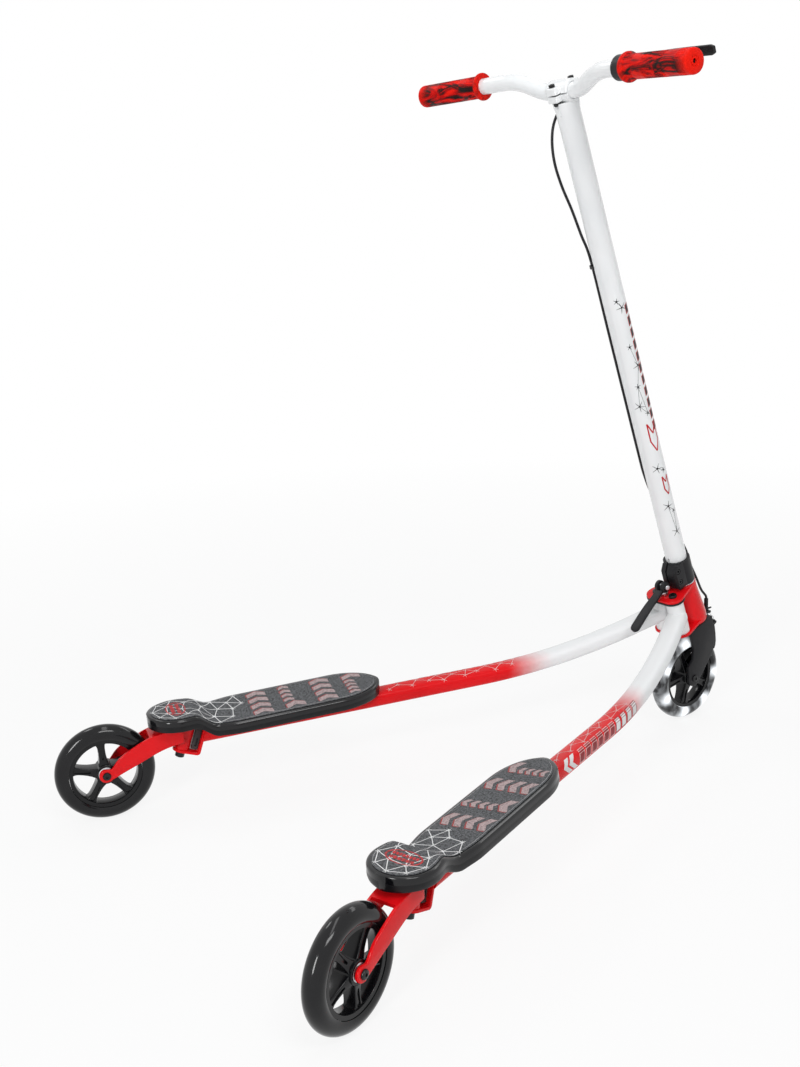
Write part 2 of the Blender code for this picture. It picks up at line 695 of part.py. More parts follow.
def make_fork(paint):
    axle = head_of_front_axle()
    reach = 14.0
    outline = [(-27, 173), (-27, 150), (-21, 128), (-10, 110)]
    for k in range(7):
        angle = radians(215 + 30 * k)
        outline.append((axle.y + reach * cos(angle), axle.z + reach * sin(angle)))
    outline += [(51, 116), (37, 124), (30, 140), (28, 173)]
    body = prism(outline, -22, 22)
    moved(body, Matrix(((0, 0, 1), (1, 0, 0), (0, 1, 0))).to_4x4())
    soften(body, 1.2)
    well = moved(rod(WHEEL_RADIUS + 4.5, -17.2, 17.2, 32), shift(0, axle.y, axle.z) @ axle_turned())
    cut(body, well)
    hole = moved(rod(4.4, -40, 40, 10), shift(0, axle.y, axle.z) @ axle_turned())
    cut(body, hole)
    for x in (-7.3, 7.3):
        lug = side_plate([(-20, 157), (-38, 152.8), (-43.5, 151), (-45.6, 147), (-43.8, 143.3),
                          (-39, 141.5), (-20, 139)], 1.3)
        joined(body, moved(lug, shift(x, 0, 0)))
    cut(body, moved(rod(2.5, -20, 20, 12), shift(0, *BRAKE_PIN) @ axle_turned()))
    joined(body, moved(box(-6.5, 6.5, -5.5, 12.0, TAB_LOW, TAB_TOP, 1.0), cable_stop()))
    cut(body, moved(rod(2.7, -8, 8, 12), cable_stop()))
    joined(body, rod(STEERER_RADIUS, 170.0, 292.0, 24))
    place(body, "fork", paint["black"], HEAD)


def soften(made, width):
    """Rounds the long edges of a plate a little."""
    bm = bmesh.new()
    bm.from_mesh(made.data)
    sharp = [edge for edge in bm.edges
             if len(edge.link_faces) == 2 and edge.calc_face_angle() > radians(60)]
    bmesh.ops.bevel(bm, geom=sharp, offset=width, segments=1, affect="EDGES", profile=0.5)
    bm.to_mesh(made.data)
    bm.free()
    return made


def make_axle(paint, word, frame, half, body=None):
    """A bolt from the rider's right through to its nut on the left."""
    shape = turned([(6.0, -half - 3.4), (6.0, -half - GAP), (3.9, -half - GAP),
                    (3.9, half + 5.6)], 10)
    cut(shape, rod(2.6, -half - 6, -half - 1.6, 6))
    place(moved(shape, axle_turned()), f"{word}_axle_bolt", paint["black_metal"], frame, body)
    nut = rod(6.4, half + GAP, half + 5.0, 6)
    cut(nut, rod(4.2, half - 5, half + 15, 10))
    place(moved(nut, axle_turned()), f"{word}_axle_nut", paint["steel"], frame, body)


def tyre(width):
    """A rounded tyre profile turned about the axle."""
    half = width / 2
    profile = []
    for k in range(7):
        angle = radians(-28 + (236 / 6) * k)
        profile.append((WHEEL_RADIUS - 13.5 + 13.5 * sin(angle), half * cos(angle)))
    return moved(turned(profile, 36, bored=True), axle_turned())


def wheel_core(lead):
    """A rim and a hub joined by five spokes that sweep back a little."""
    rim = turned([(RIM_INNER, -9.8), (RIM_OUTER, -11), (RIM_OUTER, 11), (RIM_INNER, 9.8)], 28,
                 bored=True)
    hub = tube(11.2 + GAP, HUB_RADIUS, -HUB_HALF, HUB_HALF, 16)
    joined(rim, *[spoke(lead + 360 * k / SPOKES) for k in range(SPOKES)])
    joined(rim, hub)
    cut(rim, rod(11.2 + GAP, -30, 30, 16))
    return moved(rim, axle_turned())


def spoke(angle):
    rings = []
    for reach, half, thick, sweep_back in ((12.4, 7.4, 11.5, 0), (28, 5.4, 9.2, 1.2),
                                           (RIM_OUTER - 2.2, 6.4, 8.8, 2.4)):
        ring = [Vector((reach, sweep_back + u * half, v * thick))
                for u, v in ((-1, 0), (-0.6, -1), (0.6, -1), (1, 0), (0.6, 1), (-0.6, 1))]
        rings.append(ring)
    return moved(loft(rings), turn(angle, "Z"))


def bearings(inner_face):
    """Two ball bearings on their spacer, one turned piece."""
    end = inner_face - GAP
    profile = [(4.3, -end), (6.4, -end), (11.0, 0.4 - HUB_HALF), (11.0, HUB_HALF - 0.4),
               (6.4, end), (4.3, end)]
    return moved(turned(profile, 12, bored=True), axle_turned())


def make_front_wheel(paint):
    frame = front_wheel_frame()
    place(tyre(FRONT_TYRE_WIDTH), "front_tyre", paint["clear"], frame)
    place(wheel_core(FRONT_SPOKE_TURN), "front_wheel_core", paint["gloss_black"], frame)
    place(bearings(17.2), "front_bearings", paint["steel"], frame)
    make_axle(paint, "front", frame, 22.0, HEAD)


def brake_frame():
    return HEAD @ shift(0, *BRAKE_PIN)


def side_plate(outline, half):
    """A plate from (behind, above) points, spread to both sides of the mid-plane."""
    shape = prism(outline, -half, half)
    return moved(shape, Matrix(((0, 0, 1), (1, 0, 0), (0, 1, 0))).to_4x4())


def make_brake(paint):
    frame = brake_frame()
    pin = turned([(2.9, -10.3), (2.9, -8.9), (2.1, -8.9), (2.1, 8.9), (2.7, 8.9), (2.7, 10.1)], 12)
    place(moved(pin, axle_turned()), "brake_pin", paint["black_metal"], frame, HEAD)

    horn = WIRE_BEHIND - BRAKE_PIN[0]
    plate = [(0.2, -8.0), (2.2, -22.0), (5.0, -34.0), (7.2, -43.0), (8.2, -50.5), (10.6, -50.5),
             (9.8, -42.4), (7.8, -33.2), (5.0, -21.4), (3.0, -8.0)]
    shape = side_plate(plate, 7.0)
    seen_from_front = [(-7.5, 0), (-7.5, -33), (-5.5, -44), (-2.5, -51), (2.5, -51), (5.5, -44), (7.5, -33),
                       (7.5, 0)]
    combine(shape, moved(prism(seen_from_front, -30, 30), turn(90, "X")), "INTERSECT")
    joined(shape, side_plate([(-3.5, -1.0), (0.0, -12.0), (3.2, -12.0), (3.5, -1.0)], 5.5))
    boss = moved(rod(3.8, -5.6, 5.6, 20), axle_turned())
    horn_side = [(-3.4, 1.0), (0, 8.0), (8.8, 10.6), (8.8, 7.6), (3.0, 4.5), (3.4, -1.0)]
    joined(shape, side_plate(horn_side, 3.6))
    joined(shape, boss)
    cut(shape, moved(rod(2.5, -20, 20, 12), axle_turned()))
    cut(shape, moved(rod(1.3, -3, 30, 12), shift(0, horn, 0)))
    place(shape, "brake_arm", paint["black"], frame)

    pad = side_plate([(7.0, -28.5), (10.8, -42.0), (12.6, -42.3), (14.0, -36.0), (16.2, -29.5)], 8)
    cut(pad, side_plate([(x + 0.3, z) for x, z in plate], 20))
    place(pad, "brake_pad", paint["rubber"], frame)

    stop = cable_stop()
    low = BRAKE_PIN[1] + 4.5
    inside = stop @ Vector((0, 0, 17.0 * MM)) / MM
    below = stop @ Vector((0, 0, -3.6 * MM)) / MM
    bend = [Vector((0, WIRE_BEHIND, low - 1.0)), Vector((0, WIRE_BEHIND, 162.0)), below, inside]
    lifts = [Vector((0, 1, 0))] * len(bend)
    wire = loft(sweep(bend, 0.6, 0.6, lifts, 10, power=2.0))
    joined(wire, moved(rod(1.7, low - 2.6, low, 12), shift(0, WIRE_BEHIND, 0)))
    place(wire, "brake_wire", paint["steel"], HEAD)

    top = ADJUSTER_TOP
    adjuster = turned([(1.2, TAB_LOW), (2.3, TAB_LOW), (2.3, TAB_TOP + GAP), (4.4, TAB_TOP + GAP),
                       (4.4, 5.4), (3.5, 6.4), (3.5, top - 1.0), (3.2, top), (2.6, top),
                       (2.5, top - 3.0), (1.2, top - 3.0)], 12, bored=True)
    joined(adjuster, moved(turned([(1.9, 3.0), (1.3, 12.5)], 10), shift(0, 0, 3.5) @ turn(90, "X")))
    place(adjuster, "cable_adjuster", paint["black"], HEAD @ stop, HEAD)
    make_spring(paint)


def make_spring(paint):
    """The brake's return spring: a coil round the bare wire, its leg hooked over to the arm."""
    steps = 8
    straight = 2.4 * SPRING_WIRE
    rise = 0.8
    low = SPRING_TOP - straight - rise - SPRING_PITCH * SPRING_TURNS
    axis = Vector((0, WIRE_BEHIND, 0))
    points = [axis + Vector((SPRING_RADIUS, 0, low)), axis + Vector((SPRING_RADIUS, 0, low + straight))]
    for k in range(1, round(SPRING_TURNS * steps) + 1):
        angle = 2 * pi * k / steps
        height = low + straight + rise + SPRING_PITCH * k / steps
        points.append(axis + Vector((SPRING_RADIUS * cos(angle), SPRING_RADIUS * sin(angle), height)))
    for behind, height in ((-42.0, 164.2), (-44.4, 161.2), (-46.2, 156.0), (-49.4, 151.4),
                           (-51.0, 147.8), (-50.8, 145.2)):
        points.append(Vector((1.2, behind, height)))
    boss = Vector((0, *BRAKE_PIN))
    meet = Vector((0, -0.931, -0.365))
    points += [boss + meet * 7.4, boss + meet * (4.0 + GAP + straight), boss + meet * (4.0 + GAP)]
    least = least_gap(points, SPRING_WIRE)
    print(f"brake_spring: least gap to itself {least:.2f} mm")
    place(cord(points, SPRING_WIRE, 1), "brake_spring", paint["steel"], HEAD)


def least_gap(points, radius):
    """The least free space between stretches of a cord that aren't neighbours along it."""
    fine = []
    for p, q in zip(points, points[1:]):
        fine += [p.lerp(q, k / 6) for k in range(6)]
    marks = [0.0]
    for p, q in zip(fine, fine[1:]):
        marks.append(marks[-1] + (q - p).length)
    least = 1e9
    for i, p in enumerate(fine):
        for j in range(i + 1, len(fine)):
            if marks[j] - marks[i] > 6 * radius:
                least = min(least, (fine[j] - p).length - 2 * radius)
    return least


# Arms, decks and casters

def arm_path(side):
    """The arm's centre line in world millimetres, from the sleeve to the swivel bracket."""
    start = pivot_frame(side) @ Vector((0, 0, 0.2145))
    swivel = swivel_frame(side) @ Vector((0, -(BRACKET_WEB_AHEAD - 2) * MM, 0.020))
    start, swivel = start / MM, swivel / MM
    slope = tan(radians(SPLAY))
    bend = Vector((swivel.x - side * slope * (swivel.y - ARM_BEND_Y), ARM_BEND_Y, ARM_BEND_Z))
    end = Vector((swivel.x, swivel.y, ARM_REAR_Z))
    return start, bend, end


def arm_points(side):
    """A straight run, a wide bend as a parabola, and a straight run."""
    start, bend, end = arm_path(side)
    reach = 150.0
    first = bend + (start - bend).normalized() * reach
    second = bend + (end - bend).normalized() * reach
    points = [start]
    for k in range(8):
        t = k / 7
        points.append(first.lerp(bend, t).lerp(bend.lerp(second, t), t))
    points.append(end)
    return points


def arm_lifts(side, count):
    upright = HEAD.to_3x3() @ Vector((0, 0, 1))
    level = deck_frame(side).to_3x3() @ Vector((0, 0, 1))
    lifts = []
    for k in range(count):
        share = min(1.0, k / (count - 2))
        lifts.append(upright.lerp(level, share).normalized())
    return lifts


def arm_tube(side, extra=0.0):
    points = arm_points(side)
    rings = sweep(points, ARM_HALF_WIDTH + extra, ARM_HALF_HEIGHT + extra,
                  arm_lifts(side, len(points)))
    return loft(rings)


def swivel_bracket(side):
    """The rear bracket in the swivel's frame: two plates and the web that joins them."""
    half = BRACKET_HALF_WIDTH
    front = -BRACKET_WEB_AHEAD
    outline = [(half, front), (half, 0)]
    for k in range(1, 8):
        angle = pi * k / 8
        outline.append((half * cos(angle), half * sin(angle)))
    outline += [(-half, 0), (-half, front)]
    lower = prism(outline, 0, 4.0)
    upper = prism(outline, BRACKET_HEIGHT - 4.0, BRACKET_HEIGHT)
    web = box(-half, half, front, front + 4.0, 0.5, BRACKET_HEIGHT - 0.5)
    joined(lower, web, upper)
    cut(lower, rod(4.6, -20, 80, 12))
    return lower


def make_arm(paint, side, word):
    frame = pivot_frame(side)
    sleeve_top = HEAD_TUBE_TOP - PLATE - GAP - GASKET - GAP
    sleeve = rod(SLEEVE_RADIUS, LOWER_PLATE + PLATE + GAP, sleeve_top, 20)
    to_mm = frame.copy()
    sleeve = moved(sleeve, to_mm)
    behind_web = box(-30, 30, 2.0 - BRACKET_WEB_AHEAD, 30, -20, 60)
    arm = joined(cut(arm_tube(side), moved(behind_web, swivel_frame(side))), sleeve)
    bracket = moved(swivel_bracket(side), swivel_frame(side))
    joined(arm, bracket)
    cut(arm, moved(rod(5.2, 100, 300, 12), frame))
    cut(arm, moved(rod(2.9, 100, 300, 12), HEAD @ shift(0, PIVOT_BEHIND, 0)))
    place(arm, f"arm_{word}", paint["red"], WORLD, frame)

    swivel = swivel_frame(side)
    shape = turned([(7.0, -9.5), (7.0, -GAP - 1.5), (8.5, -GAP - 1.5), (8.5, -GAP), (4.2, -GAP),
                    (4.2, BRACKET_HEIGHT + 3.2)], 12)
    cut(shape, rod(3.2, -12, -6.5, 6))
    place(shape, f"swivel_bolt_{word}", paint["black_metal"], swivel, frame)

    inner = -(BRACKET_WEB_AHEAD - 4.0) + GAP
    stop = box(-6.5, 6.5, inner, inner + 4.0, 7.0, 29.0, 0.8)
    cut(stop, box(-2.2, 2.2, inner + 1.6, inner + 6, 11.0, 25.0))
    place(stop, f"caster_stop_{word}", paint["steel"], swivel, frame)


def deck_half_width(u, inset=0.0):
    """Half the deck's width at u ahead of its reference point."""
    centre = DECK_REAR + DECK_HEEL_RADIUS
    if u < centre:
        full = sqrt(max(DECK_HEEL_RADIUS ** 2 - (u - centre) ** 2, 0))
    elif u < 48:
        fall = (1 + cos(pi * (u - centre) / (48 - centre))) / 2
        full = DECK_WAIST + (DECK_HEEL_RADIUS - DECK_WAIST) * fall
    elif u < 100:
        full = DECK_HALF_WIDTH - (DECK_HALF_WIDTH - DECK_WAIST) * (1 + cos(pi * (u - 48) / 52)) / 2
    elif u < 250:
        full = DECK_HALF_WIDTH
    else:
        full = DECK_HALF_WIDTH * sqrt(max(1 - ((u - 250) / (DECK_FRONT - 250)) ** 2, 0))
    return full - inset


def heel_share(u):
    """1 on the raised heel, 0 on the sole, and between them a smooth step."""
    if u < 28:
        return 1.0
    if u > 64:
        return 0.0
    return (1 + cos(pi * (u - 28) / 36)) / 2


def deck_point(side, u, x, z):
    """A point of the deck's section at u; the heel stands higher and is level both ways."""
    share = heel_share(u)
    level = radians(side * DECK_CANT * share)
    rise = share * (HEEL_RISE - u * sin(radians(DECK_SLOPE)))
    return Vector((x * cos(level) + z * sin(level), -u, rise - x * sin(level) + z * cos(level)))


def deck_stations(inset):
    """Places along the deck, closer together at its round ends."""
    rear = DECK_REAR + inset
    front = DECK_FRONT - inset
    stations = [rear + 44 * (1 - cos(radians(10 + 80 * k / 5))) for k in range(6)]
    stations += [18, *range(28, 68, 3), 78, 96, 130, 175, 220, 250]
    stations += [250 + (front - 250) * sin(radians(90 * k / 7)) for k in range(1, 7)]
    stations.append(front - 0.35)
    return stations


def deck_solid(side):
    rings = []
    for u in deck_stations(0.0):
        half = max(deck_half_width(u), 4.0)
        edge = min(2.6, half * 0.3)
        chamfer = 4.0 * edge / 2.6
        ring = [(half - chamfer, -DECK_THICKNESS), (half, 4.0 - DECK_THICKNESS), (half, -edge),
                (half - edge, 0), (0, 0), (-half + edge, 0), (-half, -edge),
                (-half, 4.0 - DECK_THICKNESS), (chamfer - half, -DECK_THICKNESS)]
        rings.append([deck_point(side, u, x, z) for x, z in ring])
    return loft(rings)


def tape_solid(side):
    rings = []
    for u in deck_stations(TAPE_INSET):
        half = deck_half_width(u)
        centre = DECK_REAR + DECK_HEEL_RADIUS
        if u < centre:
            round_end = DECK_HEEL_RADIUS - TAPE_INSET
            half = sqrt(max(round_end ** 2 - (u - centre) ** 2, 0))
        elif u > 250:
            round_end = DECK_FRONT - TAPE_INSET - 250
            half = (DECK_HALF_WIDTH - TAPE_INSET) * sqrt(max(1 - ((u - 250) / round_end) ** 2, 0))
        else:
            half -= TAPE_INSET
        half = max(half, 3.0)
        low = GAP
        high = low + TAPE_THICKNESS
        rings.append([deck_point(side, u, x, z) for x, z in
                      ((half, low), (half, high), (0, high), (-half, high), (-half, low), (0, low))])
    return loft(rings)


def make_deck(paint, side, word):
    frame = deck_frame(side)
    shape = deck_solid(side)
    hollow = moved(arm_tube(side, 0.5), frame.inverted())
    cut(shape, hollow)
    room = moved(box(-15.5, 15.5, -31.0, 16.0, -30.0, BRACKET_HEIGHT + 4.5), swivel_frame(side))
    cut(shape, moved(room, frame.inverted()))
    place(shape, f"deck_{word}", paint["gloss_black"], frame, pivot_frame(side))
    place(tape_solid(side), f"grip_tape_{word}", paint["tape"], frame, pivot_frame(side))


def caster_outline():
    """The fork's side in the wheel's plane: (ahead of the axle, above the axle)."""
    upper = [(8, 8.5), (22, 24.5), (45, 37.5), (62, 45.5), (80, 50.5), (98, 52.0), (116, 50.5)]
    lower = [(116, 30.5), (96, 27.5), (80, 23.0), (66, 17.5), (50, 10.5), (26, 0.5), (7, -8.0)]
    around = []
    for k in range(6):
        angle = radians(-50 - 39.6 * k)
        around.append((10.6 * cos(angle), 10.6 * sin(angle)))
    return upper + lower + around


def make_caster(paint, side, word):
    frame = wheel_frame(side)
    swivel = swivel_frame(side)
    upright = Matrix(((0, 0, 1), (-1, 0, 0), (0, 1, 0))).to_4x4()
    body = moved(prism(caster_outline(), -FORK_OUTER, FORK_OUTER), upright)
    opening = [(-60, -60), (-60, 60), (66, 60), (66, 42.0), (80, 46.0), (98, 47.6), (140, 26), (140, -60)]
    cut(body, moved(prism(opening, -FORK_INNER, FORK_INNER), upright))
    place_in_wheel = frame.inverted() @ swivel
    barrel = rod(BARREL_RADIUS, 4.0 + GAP, BRACKET_HEIGHT - 4.0 - GAP, 18)
    joined(barrel, wrapped([(0, 0, BARREL_RADIUS + 0.4), (0, 14, 15)], 24.0, 38.5, 16))
    joined(body, moved(barrel, place_in_wheel))
    cut(body, moved(rod(4.6, -40, 80, 12), place_in_wheel),
        moved(rod(4.3, -40, 40, 10), axle_turned()))
    place(body, f"caster_fork_{word}", paint["red"], frame, swivel)
    make_axle(paint, f"rear_{word}", frame, FORK_OUTER, swivel)

    place(tyre(REAR_TYRE_WIDTH), f"rear_tyre_{word}", paint["tyre"], frame)
    place(wheel_core(REAR_SPOKE_TURN[word]), f"rear_wheel_core_{word}", paint["gloss_black"], frame)
    place(bearings(FORK_INNER), f"rear_bearings_{word}", paint["steel"], frame)


def main():
    clear_scene()
    paint = {
        "red": finish("red paint", RED, 0.28, 0.0),
        "white": finish("white paint", WHITE, 0.25, 0.0),
        "black": finish("black paint", BLACK, 0.42, 0.0),
        "gloss_black": finish("gloss black plastic", BLACK, 0.2, 0.0),
        "black_metal": finish("blackened steel", BLACK, 0.35, 0.8),
        "steel": finish("steel", STEEL, 0.3, 1.0),
        "rubber": finish("black rubber", BLACK, 0.7, 0.0),
        "grip": finish("red grip rubber", RED, 0.55, 0.0),
        "tape": finish("grip tape", TAPE, 0.95, 0.0),
        "tyre": finish("black urethane", BLACK, 0.3, 0.0),
        "clear": finish("clear urethane", CLEAR, 0.15, 0.0),
    }
    make_head(paint)
    make_headset(paint)
    make_gasket(paint)
    make_pivot_bolts(paint)
    make_lock(paint)
    make_collar(paint)
    make_stem(paint)
    make_bar(paint)
    make_lever(paint)
    make_cable(paint)
    make_fork(paint)
    make_brake(paint)
    make_front_wheel(paint)
    for side, word in ((1, "left"), (-1, "right")):
        make_arm(paint, side, word)
        make_deck(paint, side, word)
        make_caster(paint, side, word)


main()
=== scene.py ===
# %% [markdown]
# # A carving scooter in paint, rubber and urethane
#
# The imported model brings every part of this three-wheeled scooter in its true size and place.
# This lesson gives each part the surface it has in a shop: lacquer on the tubes, grit on the decks,
# marbled rubber on the grips and glossy urethane on the wheels. Round parts are turned again with
# more facets, and pressed or cast parts get the rounded edges that catch the light.

# %% Load the fixed frame
import json
from math import ceil, cos, pi, radians, sin, sqrt, tan

import bmesh
import bpy
from mathutils import Matrix, Vector


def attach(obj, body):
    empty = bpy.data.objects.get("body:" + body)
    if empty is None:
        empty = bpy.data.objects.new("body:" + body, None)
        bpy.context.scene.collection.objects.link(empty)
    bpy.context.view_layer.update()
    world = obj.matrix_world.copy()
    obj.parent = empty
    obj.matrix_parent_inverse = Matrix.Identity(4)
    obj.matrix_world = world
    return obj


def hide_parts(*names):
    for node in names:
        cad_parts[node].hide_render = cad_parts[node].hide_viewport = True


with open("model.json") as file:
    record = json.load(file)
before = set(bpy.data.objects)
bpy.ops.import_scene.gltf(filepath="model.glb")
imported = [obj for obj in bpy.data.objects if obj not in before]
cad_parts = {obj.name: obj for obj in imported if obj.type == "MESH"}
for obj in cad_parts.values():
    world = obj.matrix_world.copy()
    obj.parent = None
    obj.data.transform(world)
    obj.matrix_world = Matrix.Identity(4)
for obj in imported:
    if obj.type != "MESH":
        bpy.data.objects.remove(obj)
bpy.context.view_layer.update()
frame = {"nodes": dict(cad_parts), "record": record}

MM = 0.001
record = frame["record"]
SLOT_OF = {part["node"]: part["material_slot"] for part in record["subparts"]}
BODY_OF = {node: body for body, nodes in record["behaviour"]["bodies"].items() for node in nodes}

# %% [markdown]
# ## Where the photographer stood
#
# A camera is a point and three directions. They could be set by eye, but here they come from fitting
# the wheels, the decks and the bar to the picture, so that every part lands where it should.

# %% The camera
CAMERA_PLACE = Vector((-1.32234, 1.08253, 0.87928))
CAMERA_LOOK = Vector((0.781364, -0.565002, -0.265034))
CAMERA_UP = Vector((0.187957, -0.191912, 0.963246))
CAMERA_LENS = 42.688


def put(name, data):
    """A new object in the scene, which holds a mesh, a lamp or a camera."""
    made = bpy.data.objects.new(name, data)
    bpy.context.scene.collection.objects.link(made)
    return made


right_way = CAMERA_LOOK.cross(CAMERA_UP).normalized()
camera_turn = Matrix((right_way, CAMERA_UP, -CAMERA_LOOK)).transposed()
camera = put("camera", bpy.data.cameras.new("camera"))
camera.matrix_world = Matrix.Translation(CAMERA_PLACE) @ camera_turn.to_4x4()
camera.data.lens = CAMERA_LENS
camera.data.sensor_width = 36.0
camera.data.clip_end = 60.0
bpy.context.scene.camera = camera
print("camera at", tuple(round(v, 3) for v in CAMERA_PLACE))

# %% [markdown]
# ## Soft studio light
#
# Gloss needs something to mirror. A sun lamp would light the scooter, but leave only small hard
# glints on it. Large soft boxes give long, clean highlights on black urethane, and a dim even world
# fills the rest. The lamps are set so that a colour renders about as written. Each row of the table
# gives a lamp's name, place, width, height and watts.

# %% Lamps and world
LAMPS = (
    ("key", (-2.4, 0.6, 2.9), 1.4, 0.8, 34.0),
    ("side", (-1.6, 3.4, 1.7), 0.6, 1.6, 56.0),
    ("ahead", (0.6, -2.5, 2.9), 2.4, 0.5, 12.0),
    ("top", (-0.3, 0.1, 3.4), 0.5, 3.0, 16.0),
    ("rear", (2.3, 0.8, 3.0), 0.7, 0.7, 10.0),
)
AIM = Vector((0.0, 0.0, 0.35))
FILL = 0.37


def soft_box(name, place, width, height, watts):
    data = bpy.data.lights.new(name, "AREA")
    data.shape = "RECTANGLE"
    data.size = width
    data.size_y = height
    data.energy = watts
    lamp = put(name, data)
    lamp.location = place
    lamp.rotation_euler = (AIM - Vector(place)).to_track_quat("-Z", "Y").to_euler()


for lamp_values in LAMPS:
    soft_box(*lamp_values)

world = bpy.data.worlds.new("studio")
bpy.context.scene.world = world
world.use_nodes = True
bpy.context.scene.view_settings.view_transform = "Standard"
print(len(LAMPS), "soft boxes")

# %% [markdown]
# ## Wiring a finish
#
# Every finish is a small tree of shader nodes. It could be drawn by hand in the shader editor, but in
# code the same tree serves several paints. A few helpers keep the trees readable: one adds a node and
# fills its inputs with numbers or links, and the others do sums, ramps and mixes.

# %% Nodes, sums and ramps
def add(tree, kind, inputs=None, **settings):
    """Adds a shader node and sets its inputs, each from a value or from another node's socket."""
    made = tree.nodes.new("ShaderNode" + kind)
    for name, value in settings.items():
        setattr(made, name, value)
    for name, value in (inputs or {}).items():
        if isinstance(value, bpy.types.NodeSocket):
            tree.links.new(value, made.inputs[name])
        else:
            made.inputs[name].default_value = value
    return made


def calc(tree, operation, *values, clamp=False):
    return add(tree, "Math", dict(enumerate(values)), operation=operation, use_clamp=clamp).outputs[0]


def ramp(tree, share, *stops):
    """A colour ramp from (place, colour) stops."""
    made = add(tree, "ValToRGB", {"Fac": share})
    stops_made = made.color_ramp.elements
    while len(stops_made) < len(stops):
        stops_made.new(0.5)
    for stop, (place, colour) in zip(stops_made, stops):
        stop.position = place
        stop.color = (*colour, 1.0) if isinstance(colour, tuple) else (colour, colour, colour, 1.0)
    return made.outputs["Color"]


def mixed(tree, share, first, second):
    """One colour fading to another."""
    made = add(tree, "Mix", data_type="RGBA")
    for place, value in ((0, share), (6, first), (7, second)):
        if isinstance(value, bpy.types.NodeSocket):
            tree.links.new(value, made.inputs[place])
        elif isinstance(value, tuple):
            made.inputs[place].default_value = (*value, 1.0)
        else:
            made.inputs[place].default_value = value
    return made.outputs[2]


print("node helpers ready")

# %% [markdown]
# Real surfaces are never even, so most finishes start from a noise. A painted picture could carry
# the variation too, but a noise has no seams, needs no unwrapping and fits any shape. The Principled
# shader then holds colour, roughness and clear coat in one node.

# %% Noise and the main shader
def cloud(tree, scale, detail=2.0, roughness=0.5, distortion=0.0, stretch=(1, 1, 1)):
    """A noise in the piece's own coordinates, with scale in features per metre."""
    place = add(tree, "TexCoord").outputs["Object"]
    stretched = add(tree, "Mapping", {"Vector": place, "Scale": stretch}).outputs[0]
    return add(tree, "TexNoise", {"Vector": stretched, "Scale": scale, "Detail": detail,
                                  "Roughness": roughness, "Distortion": distortion}).outputs["Fac"]


def new_finish(name, colour, rough, metal=0.0, coat=0.0, coat_rough=0.05, specular=0.5):
    """A Principled material; returns the material, its tree and its shader."""
    made = bpy.data.materials.new(name)
    made.use_nodes = True
    shader = made.node_tree.nodes["Principled BSDF"]
    shader.inputs["Base Color"].default_value = (*colour, 1.0)
    shader.inputs["Roughness"].default_value = rough
    shader.inputs["Metallic"].default_value = metal
    shader.inputs["Coat Weight"].default_value = coat
    shader.inputs["Coat Roughness"].default_value = coat_rough
    shader.inputs["Specular IOR Level"].default_value = specular
    made.diffuse_color = (*colour, 1.0)
    return made, made.node_tree, shader


def wire(tree, shader, colour=None, rough=None, height=None, strength=0.3, depth=0.0002):
    """Links the sockets that vary over a surface: its colour, roughness and fine relief."""
    if colour is not None:
        tree.links.new(colour, shader.inputs["Base Color"])
    if rough is not None:
        tree.links.new(rough, shader.inputs["Roughness"])
    if height is not None:
        relief = add(tree, "Bump", {"Strength": strength, "Distance": depth, "Height": height})
        tree.links.new(relief.outputs[0], shader.inputs["Normal"])


print("helpers for finishes ready")

# %% [markdown]
# A white backdrop needs a strong world, but a strong world would wash out the object. So this one has
# two brightnesses. What the camera and mirrors see is plain white, and what lights the object is
# dimmer. A Light Path node tells one from the other.

# %% The two-level world
sky = world.node_tree
sky.nodes.clear()
seen = add(sky, "Background", {"Color": (1, 1, 1, 1), "Strength": 1.0})
fill = add(sky, "Background", {"Color": (0.97, 0.985, 1.0, 1), "Strength": FILL})
path = add(sky, "LightPath")
mirror_or_eye = calc(sky, "MAXIMUM", path.outputs["Is Camera Ray"], path.outputs["Is Glossy Ray"])
mirror_or_eye = calc(sky, "MAXIMUM", mirror_or_eye, path.outputs["Is Transmission Ray"])
sky_mix = add(sky, "MixShader", {0: mirror_or_eye, 1: fill.outputs[0], 2: seen.outputs[0]})
add(sky, "OutputWorld", {"Surface": sky_mix.outputs[0]})
print("fill", FILL)

# %% [markdown]
# ## Lacquer
#
# The tubes are sprayed steel: a solid colour under a clear coat. One flat colour would pass for
# plastic, because spray leaves a very fine orange peel and never a perfectly even colour. Both are
# noises here, one small in the relief and one wide in the colour and the roughness.

# %% Red, white and black paint
RED = (0.78, 0.006, 0.010)
DEEP_RED = (0.66, 0.004, 0.007)
WHITE = (0.87, 0.88, 0.885)
COOL_WHITE = (0.82, 0.84, 0.85)
BLACK = (0.009, 0.009, 0.011)
SOFT_BLACK = (0.013, 0.013, 0.014)
DRIFT = 14.0
SMEAR = 60.0
PEEL = 1100.0


def sprayed(tree, colour, shade, rough):
    """The drifting colour, uneven gloss and orange peel of a sprayed coat."""
    colours = ramp(tree, cloud(tree, DRIFT, 3.0), (0.3, shade), (0.62, colour))
    dull = calc(tree, "MULTIPLY_ADD", cloud(tree, SMEAR, 4.0), 0.14, rough - 0.06)
    return colours, dull, cloud(tree, PEEL, 2.0)


def lacquer(name, colour, shade, rough=0.22, coat=0.5, specular=0.5):
    made, tree, shader = new_finish(name, colour, rough, coat=coat, coat_rough=0.06, specular=specular)
    wire(tree, shader, *sprayed(tree, colour, shade, rough), 0.05, 0.00012)
    return made


